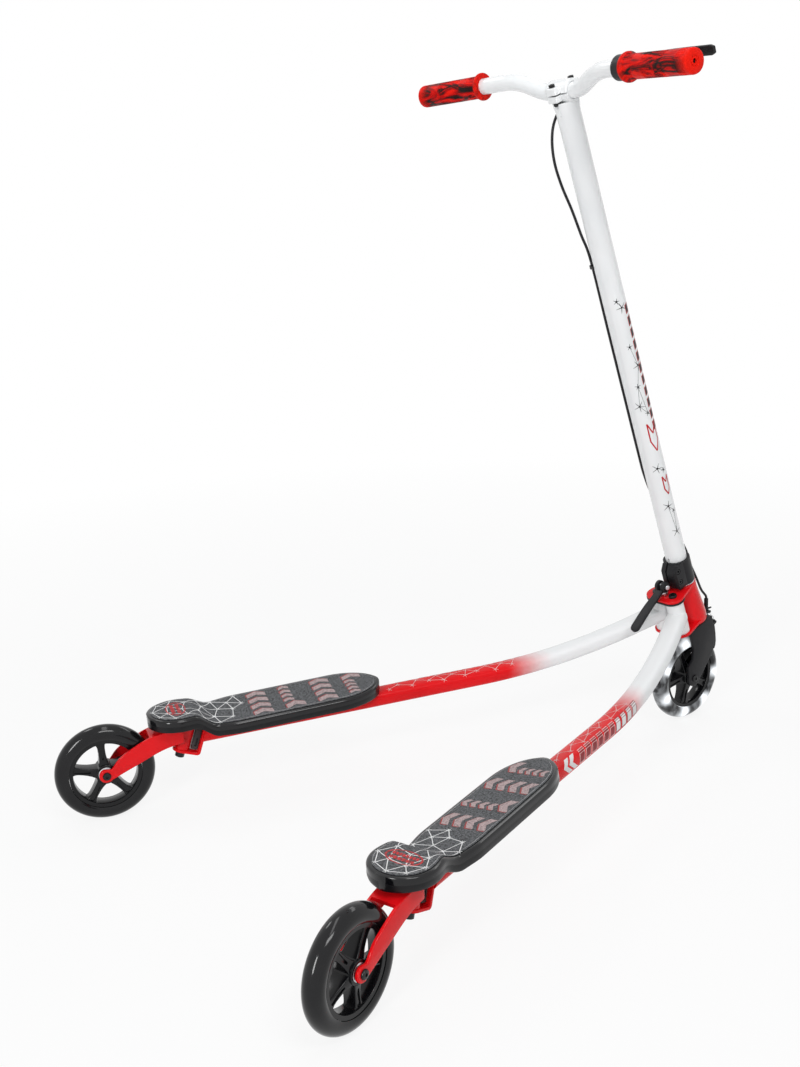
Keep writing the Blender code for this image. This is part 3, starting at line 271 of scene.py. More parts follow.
def powder(name, colour, shade, rough=0.42):
    """Satin powder coat: rounder grain than lacquer, and duller."""
    made, tree, shader = new_finish(name, colour, rough, coat=0.03, coat_rough=0.25, specular=0.2)
    colours = ramp(tree, cloud(tree, 40.0, 4.0), (0.3, shade), (0.7, colour))
    dull = calc(tree, "MULTIPLY_ADD", cloud(tree, 90.0, 4.0), 0.2, rough - 0.1)
    wire(tree, shader, colours, dull, cloud(tree, 1500.0, 3.0), 0.25, 0.00015)
    return made


white_paint = lacquer("white lacquer", WHITE, COOL_WHITE)
red_paint = lacquer("red lacquer", RED, DEEP_RED, rough=0.2, coat=0.08, specular=0.16)
black_paint = powder("black powder coat", SOFT_BLACK, BLACK)
gloss_black = lacquer("gloss black nylon", (0.003, 0.003, 0.004), (0.002, 0.002, 0.003),
                      rough=0.12, coat=0.15, specular=0.34)
core_black = lacquer("black core nylon", (0.005, 0.005, 0.006), (0.003, 0.003, 0.004),
                     rough=0.2, coat=0.05, specular=0.25)
print("five paints, red at", RED)

# %% [markdown]
# Bolts and pins are bright or blackened steel, and turned parts carry fine rings from the tool. Cut
# as grooves they would cost many faces, so a stretched noise in the roughness suggests them. Rubber
# and the cable's housing are moulded and share one finish with a fine even grain.

# %% Steel, rubber and housing
def metal(name, colour, shade, rough):
    made, tree, shader = new_finish(name, colour, rough, metal=1.0)
    colours = ramp(tree, cloud(tree, 180.0, 4.0), (0.35, shade), (0.65, colour))
    dull = calc(tree, "MULTIPLY_ADD", cloud(tree, 500.0, 3.0, stretch=(1, 1, 6)), 0.3, rough - 0.12)
    wire(tree, shader, colours, dull, cloud(tree, 2200.0, 2.0), 0.08, 0.00008)
    return made


def moulded(name, colour, shade, rough, grain=900.0, relief=0.35):
    """Moulded rubber or plastic with a fine even grain."""
    made, tree, shader = new_finish(name, colour, rough, specular=0.25)
    colours = ramp(tree, cloud(tree, 120.0, 3.0), (0.35, shade), (0.65, colour))
    dull = calc(tree, "MULTIPLY_ADD", cloud(tree, 240.0, 3.0), 0.2, rough - 0.1)
    wire(tree, shader, colours, dull, cloud(tree, grain, 3.0), relief, 0.00015)
    return made


bright_steel = metal("zinc plated steel", (0.62, 0.63, 0.65), (0.45, 0.46, 0.48), 0.26)
dull_steel = lacquer("grey steel stop", (0.055, 0.048, 0.048), (0.03, 0.027, 0.027),
                     rough=0.4, coat=0.05, specular=0.2)
black_steel = lacquer("blackened steel", (0.008, 0.008, 0.009), (0.004, 0.004, 0.005),
                      rough=0.24, coat=0.05, specular=0.3)
black_rubber = moulded("black rubber", (0.02, 0.02, 0.021), (0.012, 0.012, 0.013), rough=0.62)
housing = moulded("cable housing", (0.018, 0.018, 0.02), (0.01, 0.01, 0.012),
                  rough=0.34, grain=1600.0, relief=0.15)
print("three steels, a rubber and a housing")

# %% [markdown]
# ## Frames of the scooter
#
# The head is raked, the rear wheels are splayed and the decks are tilted. Each part could be drawn
# where it is, but it is easier to draw it upright in millimetres, in a small frame of its own, and to
# set it down in metres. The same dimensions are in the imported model's own source.

# %% Frames on the mid-plane
RAKE = 18.64
WHEEL_RADIUS = 72.5
BAR_HEIGHT = 1048.0
STEERING_AHEAD = 515.6
FRONT_AXLE_AHEAD = 445.4


def shift(x, y, z):
    return Matrix.Translation(Vector((x, y, z)) * MM)


def turn(angle, axis):
    return Matrix.Rotation(radians(angle), 4, axis)


WORLD = Matrix.Identity(4)
ACROSS = turn(90, "Y")
HEAD = shift(0, -STEERING_AHEAD, 0) @ turn(-RAKE, "X")
FRONT_WHEEL = shift(0, -FRONT_AXLE_AHEAD, WHEEL_RADIUS)
print("steering axis meets the floor at", tuple(round(v, 4) for v in HEAD.translation))

# %% [markdown]
# What is on the left is on the right too. Empties with parents could hold these frames, but a
# function of the side gives both with one set of measures: side is 1 on the left and -1 on the right.

# %% Frames at the sides
SIDES = ((1, "left"), (-1, "right"))
SPLAY = 17.5
PIVOT_X = 17.0
PIVOT_BEHIND = 42.5
REAR_AXLE_OUT = 316.6
REAR_AXLE_BEHIND = 448.7
SWIVEL_AHEAD = 111.9
SWIVEL_HEIGHT = 83.7
SWIVEL_RAKE = 19.0
DECK_AHEAD = 252.2
DECK_HEIGHT = 137.5
DECK_PITCH = 2.4
DECK_ROLL = 6.8
ANKLE_BEHIND = 150.0
GRIP_START = 140.0
GRIP_BEHIND = 15.3
GRIP_RISE = 23.2
GRIP_SWEEP = 6.9


def wheel_frame(side):
    """At a rear wheel's centre: X along the axle, Y rearwards, Z up."""
    return shift(side * REAR_AXLE_OUT, REAR_AXLE_BEHIND, WHEEL_RADIUS) @ turn(-side * SPLAY, "Z")


def swivel_frame(side):
    """On a caster's swivel axis: Z up the axis, Y rearwards."""
    place = wheel_frame(side) @ shift(0, -SWIVEL_AHEAD, SWIVEL_HEIGHT - WHEEL_RADIUS)
    return place @ turn(SWIVEL_RAKE, "X")


def pivot_frame(side):
    """On an arm's pivot bolt."""
    return HEAD @ shift(side * PIVOT_X, PIVOT_BEHIND, 0)


def deck_frame(side):
    """Under the ankle: X across, Y rearwards, Z square to the deck."""
    place = wheel_frame(side) @ shift(0, -DECK_AHEAD, DECK_HEIGHT - WHEEL_RADIUS)
    return place @ turn(-DECK_PITCH, "X") @ turn(-side * DECK_ROLL, "Y") @ shift(0, ANKLE_BEHIND, 0)


def grip_frame(side):
    """At a grip's flange: Z outwards along the grip."""
    place = HEAD @ shift(side * GRIP_START, GRIP_BEHIND, BAR_HEIGHT + GRIP_RISE)
    outward = Matrix(((0, 0, side), (-1, 0, 0), (0, -side, 0))).to_4x4()
    return place @ turn(side * GRIP_SWEEP, "Z") @ outward


print("swivel left at", tuple(round(v, 4) for v in swivel_frame(1).translation))

# %% [markdown]
# ## Turning, lofting and bending
#
# Nearly every part is one of a few kinds: turned on a lathe, pressed from plate, lofted between
# sections or bent from tube. Blender has a modifier for most of them, but a short helper for each
# keeps all measures of a part in one place. Nearly all of them end in a skin over rings of points.

# %% Skins over rings
WELD = 0.0005


def object_from(bm, name):
    """Turns a finished bmesh into an object of the scene."""
    mesh = bpy.data.meshes.new(name)
    bm.to_mesh(mesh)
    bm.free()
    return put(name, mesh)


def shape_from(bm):
    """Closes a shape's seams and turns its faces outwards."""
    bmesh.ops.remove_doubles(bm, verts=bm.verts, dist=WELD)
    bmesh.ops.recalc_face_normals(bm, faces=bm.faces)
    return object_from(bm, "shape")


def loft(rings, closed=False, second=()):
    """A skin over rings of equal length; bands of it named in second get the second material."""
    bm = bmesh.new()
    loops = [[bm.verts.new(point) for point in ring] for ring in rings]
    pairs = list(zip(loops, loops[1:]))
    if closed:
        pairs.append((loops[-1], loops[0]))
    for low, high in pairs:
        for index in range(len(low)):
            after = (index + 1) % len(low)
            face = bm.faces.new((low[index], low[after], high[after], high[index]))
            face.material_index = 1 if index in second else 0
    if not closed:
        bm.faces.new(loops[0])
        bm.faces.new(loops[-1])
    return shape_from(bm)


print("lofts ready")

# %% [markdown]
# Bolts, rings and tubes are lathe work. A screw modifier could spin a profile, but here the loft does
# it: each point of the profile becomes a circle, and a closed profile makes a bored part.

# %% Turned shapes
def circle(radius, height, steps):
    return [Vector((radius * cos(2 * pi * k / steps), radius * sin(2 * pi * k / steps), height))
            for k in range(steps)]


def turned(profile, steps=64, bored=False):
    """Turned round Z from (radius, height) points; a bored one is a closed profile."""
    return loft([circle(radius, height, steps) for radius, height in profile], closed=bored)


def rod(radius, low, high, steps=32):
    return turned([(radius, low), (radius, high)], steps)


def soft_rod(radius, low, high, soft=0.8, steps=48):
    """A rod with rounded ends."""
    arc = [(radius - soft + soft * sin(radians(a)), soft * (1 - cos(radians(a))))
           for a in (0, 30, 60, 90)]
    return turned([(r, low + h) for r, h in arc] + [(r, high - h) for r, h in arc[::-1]], steps)


def tube(inner, outer, low, high, soft=0.4, steps=64):
    return turned([(inner, low), (outer - soft, low), (outer, low + soft), (outer, high - soft),
                   (outer - soft, high), (inner, high)], steps, bored=True)


print("lathe ready")

# %% [markdown]
# Flat parts start as an outline that is raised to a thickness. Plates with round ends could be drawn
# arc by arc, but a hull stretched round a few circles needs only their centres and radii.

# %% Plates and blocks
def prism(outline, low, high):
    return loft([[Vector((x, y, level)) for x, y in outline] for level in (low, high)])


def block(x0, x1, y0, y1, z0, z1):
    return prism([(x0, y0), (x1, y0), (x1, y1), (x0, y1)], z0, z1)


def band(circles, low, high, steps=48):
    """The plate that a band stretched round circles (x, y, radius) would outline."""
    bm = bmesh.new()
    for x, y, radius in circles:
        for level in (low, high):
            for point in circle(radius, level, steps):
                bm.verts.new(point + Vector((x, y, 0)))
    hull = bmesh.ops.convex_hull(bm, input=bm.verts)
    inner = {v for key in ("geom_interior", "geom_unused") for v in hull[key]
             if isinstance(v, bmesh.types.BMVert)}
    bmesh.ops.delete(bm, geom=list(inner), context="VERTS")
    bmesh.ops.dissolve_limit(bm, angle_limit=radians(0.5), verts=bm.verts, edges=bm.edges)
    return shape_from(bm)


print("plates and blocks ready")

# %% [markdown]
# Castings and welded parts are simple shapes put together, with bores and slots taken away. They
# could be modelled face by face, but with booleans each bore and slot keeps its own measures.

# %% Move and combine
def moved(shape, matrix):
    """Moves a shape by a matrix whose shift is in metres."""
    local = matrix.copy()
    local.translation = matrix.translation / MM
    shape.data.transform(local)
    if local.determinant() < 0:
        shape.data.flip_normals()
    return shape


def combine(target, tool, operation):
    change = target.modifiers.new("change", "BOOLEAN")
    change.operation = operation
    change.object = tool
    graph = bpy.context.evaluated_depsgraph_get()
    graph.update()
    result = bpy.data.meshes.new_from_object(target.evaluated_get(graph))
    target.modifiers.clear()
    target.data = result
    bpy.data.objects.remove(tool, do_unlink=True)
    return target


def joined(target, *tools):
    for tool in tools:
        combine(target, tool, "UNION")
    return target


def cut(target, *tools):
    for tool in tools:
        combine(target, tool, "DIFFERENCE")
    return target


def gathered(*shapes):
    """Several shapes as one piece, left overlapping as welded parts may."""
    bm = bmesh.new()
    for shape in shapes:
        bm.from_mesh(shape.data)
        bpy.data.objects.remove(shape, do_unlink=True)
    return object_from(bm, "gathered")


print("booleans ready")

# %% [markdown]
# No real edge is knife sharp, and a rounded one catches a line of light. A bevel modifier could round
# a whole piece. Here only edges above an angle are rounded, so the facets of turned parts stay clean.

# %% Round an edge
def bevel_edges(bm, width, steps, sharp):
    """Rounds every edge between two faces that is sharper than an angle."""
    edges = [edge for edge in bm.edges
             if len(edge.link_faces) == 2 and edge.calc_face_angle() > radians(sharp)]
    bmesh.ops.bevel(bm, geom=edges, offset=width, segments=steps, affect="EDGES", profile=0.5,
                    clamp_overlap=True)


def round_off(shape, width, steps=3, sharp=50):
    bm = bmesh.new()
    bm.from_mesh(shape.data)
    bevel_edges(bm, width, steps, sharp)
    bm.to_mesh(shape.data)
    bm.free()
    return shape


print("edges ready")

# %% [markdown]
# Bent tubes and wires follow a path. A Blender curve with a round bevel would make them too, but
# rings of points laid in code give the ends, the bore and the number of facets exactly.

# %% Paths and pipes
PATH_FINENESS = 24


def smooth_path(knots, count):
    """Evenly spread points on a smooth curve through the knots."""
    ends = [knots[0] * 2 - knots[1], *knots, knots[-1] * 2 - knots[-2]]
    fine = []
    for a, b, c, d in zip(ends, ends[1:], ends[2:], ends[3:]):
        for k in range(PATH_FINENESS):
            t = k / PATH_FINENESS
            fine.append(0.5 * ((2 * b) + (c - a) * t + (2 * a - 5 * b + 4 * c - d) * t * t
                               + (3 * b - a - 3 * c + d) * t ** 3))
    fine.append(knots[-1])
    lengths = [0.0]
    for p, q in zip(fine, fine[1:]):
        lengths.append(lengths[-1] + (q - p).length)
    points = []
    step = 0
    for k in range(count):
        goal = lengths[-1] * k / (count - 1)
        while step < len(lengths) - 2 and lengths[step + 1] < goal:
            step += 1
        part = (goal - lengths[step]) / max(lengths[step + 1] - lengths[step], 1e-9)
        points.append(fine[step].lerp(fine[step + 1], part))
    return points


def heading(points, index):
    """The direction of a path at one of its points."""
    return (points[min(index + 1, len(points) - 1)] - points[max(index - 1, 0)]).normalized()


def pipe_rings(points, radius, steps):
    """Rings along a path, each carried on from the last without a twist."""
    side = (points[1] - points[0]).orthogonal().normalized()
    rings = []
    for index, point in enumerate(points):
        along = heading(points, index)
        side = (side - along * side.dot(along)).normalized()
        other = along.cross(side)
        angles = [2 * pi * k / steps for k in range(steps)]
        rings.append([point + radius * (side * cos(a) + other * sin(a)) for a in angles])
    return rings


def pipe(points, radius, steps=20):
    return loft(pipe_rings(points, radius, steps))


print("pipes ready")

# %% [markdown]
# A finished shape is scaled to metres, set in its frame, shaded and given to its body. It then stands
# for its node of the imported model, which stays behind it for the simulation. It could keep the tilted
# directions of its frame, but it gets the world's, so that its box lies square to the scooter.

# %% Set pieces down
SMOOTH_BELOW = 35.0
HARD_EDGE = 38.0


def set_down(shape, name, place, body, slot, paints):
    shape.name = name
    shape.data.name = name
    spot = Matrix.Translation(place.translation)
    shape.data.transform(spot.inverted() @ place @ Matrix.Scale(MM, 4))
    shape.matrix_world = spot
    bands = [face.material_index for face in shape.data.polygons]
    shape.data.materials.clear()
    for paint in paints:
        shape.data.materials.append(paint)
    shape.data.polygons.foreach_set("material_index", bands)
    shape.data.shade_smooth()
    shape.data.set_sharp_from_angle(angle=radians(SMOOTH_BELOW))
    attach(shape, body)
    return shape


def stands_for(shape, node, place, *paints):
    """Sets a shape down in place of a node, on that node's body."""
    set_down(shape, "fine_" + node, place, BODY_OF[node], SLOT_OF[node], paints)
    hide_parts(node)
    return shape


def from_node(node, paint, edge=0.4, steps=2):
    """A copy of a node with its edges rounded, for hardware whose shape is right already."""
    bm = bmesh.new()
    bm.from_mesh(frame["nodes"][node].data)
    bmesh.ops.remove_doubles(bm, verts=bm.verts, dist=1e-6)
    bmesh.ops.dissolve_limit(bm, angle_limit=radians(1.0), verts=bm.verts, edges=bm.edges)
    bevel_edges(bm, edge * MM, steps, HARD_EDGE)
    bm.transform(Matrix.Scale(1 / MM, 4))
    return stands_for(object_from(bm, node), node, WORLD, paint)


print("ready to set pieces down")

# %% [markdown]
# ## The head
#
# The head tube is turned steel that flares towards the fork, with two welded plates that hold the
# arms' pivot bolts. The plates could be traced point by point, but each is just the band round three
# circles. They are rounded before they are joined on, so the lacquer catches light along their rims.

# %% Head tube, headset and gasket
PIVOT_HOLE = 5.2
LOCK_ROD_HOLE = 2.9
STEERER_ROOM = 13.3


def lobes(low, high, tube_radius):
    plate = band([(0, 0, tube_radius), (PIVOT_X, PIVOT_BEHIND, 17.2), (-PIVOT_X, PIVOT_BEHIND, 17.2)],
                 low, high)
    return round_off(plate, 0.7)


def bracket_holes(shape):
    for x, radius in ((-PIVOT_X, PIVOT_HOLE), (PIVOT_X, PIVOT_HOLE), (0, LOCK_ROD_HOLE)):
        cut(shape, moved(rod(radius, 150, 280), shift(x, PIVOT_BEHIND, 0)))
    return shape


head_tube = turned([(25.5, 178.0), (26.2, 178.3), (26.5, 179.0), (26.5, 190.0), (21.5, 240.0),
                    (21.5, 251.1), (21.1, 251.5)], 96)
joined(head_tube, lobes(247.5, 251.49, 21.4), lobes(181.5, 185.5, 26.0))
cut(head_tube, rod(17.5, 150, 280, 64))
stands_for(bracket_holes(head_tube), "head_tube", HEAD, red_paint)
stands_for(tube(STEERER_ROOM, 20.8, 251.8, 254.3), "headset_upper", HEAD, bright_steel)
stands_for(tube(STEERER_ROOM, 20.4, 173.3, 177.7), "headset_lower", HEAD, black_steel)

gasket = band([(PIVOT_X, PIVOT_BEHIND, 17.8), (-PIVOT_X, PIVOT_BEHIND, 17.8)], 244.5, 247.2)
cut(gasket, rod(21.8, 200, 280, 64))
stands_for(bracket_holes(gasket), "bracket_gasket", HEAD, black_rubber)
print("head tube faces:", len(head_tube.data.polygons))

# %% [markdown]
# Each arm turns on a bolt, with a key's socket in its head and a nut under the lower plate. A plain
# cylinder would do from afar, but the dark socket is what the eye finds. So the bolt is turned from a
# profile, the socket is cut in, and the nut is gathered with it as one piece.

# %% Pivot bolts
def hexagon(radius):
    return [(radius * cos(radians(60 * k)), radius * sin(radians(60 * k))) for k in range(6)]


def screw(profile, key, floor):
    """A turned bolt with a hexagon socket sunk into its top."""
    return cut(turned(profile, 48), prism(hexagon(key), floor, profile[-1][1] + 5))


def hex_nut(radius, low, high):
    return round_off(prism(hexagon(radius), low, high), 0.5, 2)


for side, word in SIDES:
    bolt = screw([(4.6, 174.5), (4.6, 251.8), (6.6, 251.8), (6.6, 254.9), (6.3, 255.5), (5.7, 255.7)],
                 2.6, 253.3)
    bolt = gathered(bolt, hex_nut(6.8, 174.7, 181.2))
    stands_for(bolt, "arm_pivot_bolt_" + word, pivot_frame(side), black_steel)
print("two pivot bolts")

# %% [markdown]
# The folding lock is a cast lever on a steel rod. A bent box would look pressed, and this handle dips
# and swells along its length. So it is lofted through rounded sections whose width and height change
# from station to station.

# %% The folding lock
LOCK = HEAD @ shift(0, 43.5, 268.0) @ turn(-26.8, "X")
LOCK_BLADE = ((5.0, 0.0, 6.4), (14.0, 0.0, 6.6), (24.0, 0.9, 7.0), (42.0, 3.3, 7.6),
              (60.0, 4.4, 8.0), (81.5, 5.0, 8.2))


def rounded(half_x, half_y, corner, steps=4):
    """A rectangle with round corners, as (x, y) points."""
    corner = min(corner, half_x * 0.96, half_y * 0.96)
    points = []
    for quarter, (sx, sy) in enumerate(((1, 1), (-1, 1), (-1, -1), (1, -1))):
        for k in range(steps + 1):
            angle = radians(90 * quarter + 90 * k / steps)
            points.append((sx * (half_x - corner) + corner * cos(angle),
                           sy * (half_y - corner) + corner * sin(angle)))
    return points


stations = smooth_path([Vector(station) for station in LOCK_BLADE], 28)
tip = stations[-1]
stations += [Vector((tip.x + tip.z * sin(radians(a)), tip.y, tip.z * cos(radians(a))))
             for a in range(8, 88, 8)]
blade = loft([[Vector((x, s.x, s.y + z)) for x, z in rounded(s.z, 2.7, 1.6)] for s in stations])
cheek = round_off(moved(rod(9.0, -8.7, 8.7, 64), ACROSS), 0.8)
joined(cheek, blade)
cut(cheek, moved(rod(2.5, -20, 20), ACROSS), block(-3.4, 3.4, -12, 9.6, -12, 12))
stands_for(cheek, "lock_lever", LOCK, black_paint)
pin = turned([(3.6, -12.0), (4.2, -11.4), (4.2, -9), (2.2, -9), (2.2, 9), (3.2, 9), (3.2, 10.9),
              (2.8, 11.4)], 48)
stands_for(moved(pin, ACROSS), "lock_pin", LOCK, bright_steel)
from_node("lock_rod", bright_steel, 0.3)
from_node("lock_washer", bright_steel, 0.3)
print("lock lever stations:", len(stations))

# %% [markdown]
# ## The steering column
#
# The stem is one long lacquered tube, split at its foot so that a collar can squeeze it. The collar
# is a ring with two ears that a pair of bolts pulls together. Its bores and its slit are cut with
# booleans after its rims are rounded, because a real casting is machined last too.

# %% Collar
COLLAR_BORE = 17.3
COLLAR_LOW, COLLAR_HIGH = 254.6, 297.5
COLLAR_BOLT_BEHIND = 21.5


def side_plate(outline, half):
    """A plate from (behind, above) points, spread to both sides of the mid-plane."""
    return moved(prism(outline, -half, half), Matrix(((0, 0, 1), (1, 0, 0), (0, 1, 0))).to_4x4())


collar = tube(COLLAR_BORE, 21.5, COLLAR_LOW, COLLAR_HIGH)
ears = moved(side_plate([(8, 256.6), (27, 256.2), (29, 261.6), (29, 286.5), (22, 296.7), (8, 296.7)],
                        15.25), shift(-5.25, 0, 0))
combine(ears, rod(33.6, COLLAR_LOW - 5, COLLAR_HIGH + 5, 96), "INTERSECT")
joined(collar, round_off(ears, 1.0, sharp=40))
cut(collar, rod(COLLAR_BORE, COLLAR_LOW - 5, COLLAR_HIGH + 5, 96),
    block(-1.5, 1.5, 10, 40, COLLAR_LOW - 5, COLLAR_HIGH + 5))
for height, word in ((268.5, "lower"), (287.5, "upper")):
    bore = shift(0, COLLAR_BOLT_BEHIND, height) @ ACROSS
    cut(collar, moved(rod(2.8, -30, 30), bore), moved(rod(4.6, -25.5, -16), bore))
    bolt = screw([(2.4, -26.1), (2.4, 0), (4.1, 0), (4.1, 3.3), (3.8, 3.7), (3.3, 3.9)], 2.2, 1.6)
    at_head = HEAD @ shift(-16.3, COLLAR_BOLT_BEHIND, height) @ turn(-90, "Y")
    stands_for(bolt, "collar_bolt_" + word, at_head, black_steel)
stands_for(collar, "stem_collar", HEAD, black_paint)
print("collar faces:", len(collar.data.polygons))

# %% [markdown]
# The stem's top carries one half of a clamp, and a cap is the other half. They could be two models,
# but one function cuts both from the same barrel and block, so their rims meet round the bar.

# %% Stem and clamp
STEM_RADIUS = 17.0
CLAMP_BORE = 11.55
CLAMP_BOLT_BEHIND = 18.6


def clamp_block(low, high):
    barrel = round_off(moved(rod(15.6, -19.5, 19.5, 64), ACROSS), 0.8)
    joined(barrel, round_off(block(-9, 9, -24.5, 24.5, -10, 10.5), 2.0, 4))
    combine(barrel, block(-40, 40, -40, 40, low, high), "INTERSECT")
    cut(barrel, moved(rod(CLAMP_BORE, -60, 60, 64), ACROSS))
    for y in (-CLAMP_BOLT_BEHIND, CLAMP_BOLT_BEHIND):
        cut(barrel, moved(rod(2.9, -30, 30), shift(0, y, 0)))
    return barrel


stem = tube(STEERER_ROOM, STEM_RADIUS, 255.0, BAR_HEIGHT - 15.0, 0.4, 96)
swell = turned([(STEM_RADIUS, -26), (18.5, -18), (18.5, -12.6), (13.5, -12.6), (13.5, -26)], 96,
               bored=True)
at_bar = shift(0, 0, BAR_HEIGHT)
joined(stem, moved(swell, at_bar), moved(clamp_block(-30, -1.0), at_bar))
for y in (-CLAMP_BOLT_BEHIND, CLAMP_BOLT_BEHIND):
    cut(stem, moved(rod(3.8, -30, -10.2), shift(0, y, BAR_HEIGHT)))
cut(stem, block(-1.2, 1.2, 10, 20, 250, 303),
    moved(rod(1.9, -20, -10), shift(0, 0, 303) @ turn(90, "X")))
stands_for(stem, "stem", HEAD, white_paint)
stands_for(moved(clamp_block(1.0, 40), at_bar), "bar_clamp_cap", HEAD, white_paint)
for y, word in ((-CLAMP_BOLT_BEHIND, "front"), (CLAMP_BOLT_BEHIND, "rear")):
    bolt = screw([(2.5, -26), (2.5, 0), (4.2, 0), (4.2, 3.4), (3.9, 3.8), (3.4, 4.0)], 2.1, 1.6)
    bolt = gathered(bolt, prism(hexagon(3.5), -25.0, -21.6))
    stands_for(bolt, "clamp_bolt_" + word, HEAD @ shift(0, y, BAR_HEIGHT + 10.8), black_steel)
print("stem faces:", len(stem.data.polygons))

# %% [markdown]
# ## Bar and grips
#
# The bar is bent from one steel tube. A curve object could carry a round bevel, but then its bends
# and its open ends are harder to hold. So rings are swept along a smooth path, out along the skin and
# back along the bore.

# %% Handlebar
BAR_END = 257.0
BAR_RADIUS = 11.1
BAR_BORE = 8.9
BAR_STEPS = 40


def bar_knots():
    reach = BAR_END - GRIP_START
    half = [(0, 0, 0), (12, 0, 0), (23, 0, 0), (33, 0.6, 1.4), (46, 2.2, 6.4), (66, 5, 16.0),
            (88, 8.5, 22.2), (112, 11.8, GRIP_RISE), (GRIP_START, GRIP_BEHIND, GRIP_RISE),
            (BAR_END, GRIP_BEHIND + reach * tan(radians(GRIP_SWEEP)), GRIP_RISE)]
    return [Vector((x, y, BAR_HEIGHT + z)) for x, y, z in half]


bar_line = smooth_path([Vector((-p.x, p.y, p.z)) for p in bar_knots()[:0:-1]] + bar_knots(), 141)
bar_skin = pipe_rings(bar_line, BAR_RADIUS, BAR_STEPS)
bar_bore = pipe_rings(bar_line, BAR_BORE, BAR_STEPS)
bar = loft(bar_skin + bar_bore[::-1], closed=True)
stands_for(bar, "handlebar", HEAD, white_paint)
print("bar runs", round(sum((q - p).length for p, q in zip(bar_line, bar_line[1:]))), "mm")

# %% [markdown]
# The grips are moulded from two colours of rubber that were stirred, not mixed. A picture of marble
# would show seams on a round grip, so a strongly distorted noise splits red from black, and two
# ranges along the grip leave its ends plain red.

# %% Marbled rubber
PLAIN_RED = (0.80, 0.012, 0.004)
STIRRED_RED = (0.50, 0.002, 0.002)
grip_rubber, tree, shader = new_finish("marbled grip rubber", PLAIN_RED, 0.42, specular=0.1)
from_flange = calc(tree, "ABSOLUTE", add(tree, "SeparateXYZ", {
    0: add(tree, "TexCoord").outputs["Object"]}).outputs["X"])
begins = add(tree, "MapRange", {"Value": from_flange, "From Min": -0.004, "From Max": 0.008}).outputs[0]
ends = add(tree, "MapRange", {"Value": from_flange, "From Min": 0.118, "From Max": 0.100}).outputs[0]
swirl = cloud(tree, 66.0, 5.0, 0.62, 1.5, (0.24, 1, 1))
marble = ramp(tree, swirl, (0.385, (0.010, 0.007, 0.006)), (0.445, (0.085, 0.005, 0.004)),
              (0.50, STIRRED_RED), (0.61, PLAIN_RED))
marble = mixed(tree, calc(tree, "MULTIPLY", begins, ends), PLAIN_RED, marble)
wire(tree, shader, marble, calc(tree, "MULTIPLY_ADD", cloud(tree, 220.0, 3.0), 0.2, 0.34),
     cloud(tree, 1300.0, 3.0), 0.4, 0.00018)
print("marble from", STIRRED_RED, "to", PLAIN_RED)

# %% [markdown]
# A grip is turned from one profile with a flange, rows of fine grooves and a ring at its end. Bump
# could draw the grooves, but only real ones still show in the mesh that is taken out of Blender.

# %% Grips
GRIP_RADIUS = 15.6
GROOVE_DEPTH = 0.5
GROOVE_PITCH = 2.2
GROOVE_ROWS = ((9.0, 6), (40.0, 18), (103.0, 6))
groove_floor = GRIP_RADIUS - GROOVE_DEPTH

for side, word in SIDES:
    profile = [(11.4, 0), (17.8, 0), (18.6, 0.3), (19.0, 1.2), (19.0, 3.6), (18.5, 4.6), (16.4, 6.5),
               (GRIP_RADIUS, 7.2)]
    for start, count in GROOVE_ROWS:
        for k in range(count):
            at = start + GROOVE_PITCH * k
            profile += [(GRIP_RADIUS, at), (groove_floor, at + 0.6), (groove_floor, at + 1.1),
                        (GRIP_RADIUS, at + 1.6)]
    profile += [(GRIP_RADIUS, 118.5), (15.2, 119.9), (13.6, 121.0), (6.6, 121.0), (6.2, 120.1),
                (5.2, 120.1), (4.8, 121.0), (3.0, 121.0), (3.0, 118.4), (11.4, 118.4)]
    stands_for(turned(profile, 64, bored=True), "grip_" + word, grip_frame(side), grip_rubber)
print("grip profile points:", len(profile))

# %% [markdown]
# ## Brake lever and cable
#
# The lever is pressed from plate: narrow at its pivot, wide along its blade and round at its end. It
# could be cut from a flat sheet and bent, but a loft changes width and direction in one go.

# %% Lever
LEVER = grip_frame(-1) @ shift(24.0, 0, -8.5)
mount = tube(11.4, 16.2, -16.0, -1.0)
joined(mount, round_off(block(12, 30, -8.5, 8.5, -16.0, -1.0), 2.0, 4),
       moved(rod(4.2, -25.0, -15.0, 48), shift(23.0, 0, 0)))
cut(mount, moved(rod(3.2, -36, -20), shift(23.0, 0, 0)), block(16.6, 44, -4.2, 4.2, -14.0, 4.0),
    moved(rod(2.4, -20, 20), shift(24.0, 0, -8.5) @ turn(90, "X")), rod(11.4, -60, 60, 64))
stands_for(mount, "lever_bracket", grip_frame(-1), black_paint)
stands_for(moved(soft_rod(2.1, -9.2, 9.2, 0.5), turn(90, "X")), "lever_pin", LEVER, bright_steel)

lever_line = smooth_path([Vector(p) for p in ((0.9, 0, 2.0), (4.0, 0, 9.0), (10.0, 0, 20.0),
                                              (16.5, 0, 42.0), (18.5, 0, 75.0), (19.0, 0, 118.0))], 48)
rings = []
for index, point in enumerate(lever_line):
    out = heading(lever_line, index).cross(Vector((0, 1, 0)))
    far = index / (len(lever_line) - 1)
    half = 3.4 + 3.0 * min(1.0, max(0.0, far - 0.1) / 0.15)
    half *= sqrt(max(0.5, 1 - (max(0.0, far - 0.96) / 0.04) ** 2))
    rings.append([point + Vector((0, v, 0)) + out * u for u, v in rounded(2.2, half, 1.7)])
lever = joined(loft(rings), moved(rod(4.8, -3.8, 3.8, 48), turn(90, "X")))
cut(lever, moved(rod(2.4, -20, 20), turn(90, "X")))
stands_for(lever, "brake_lever", LEVER, black_paint)
print("lever rings:", len(rings))

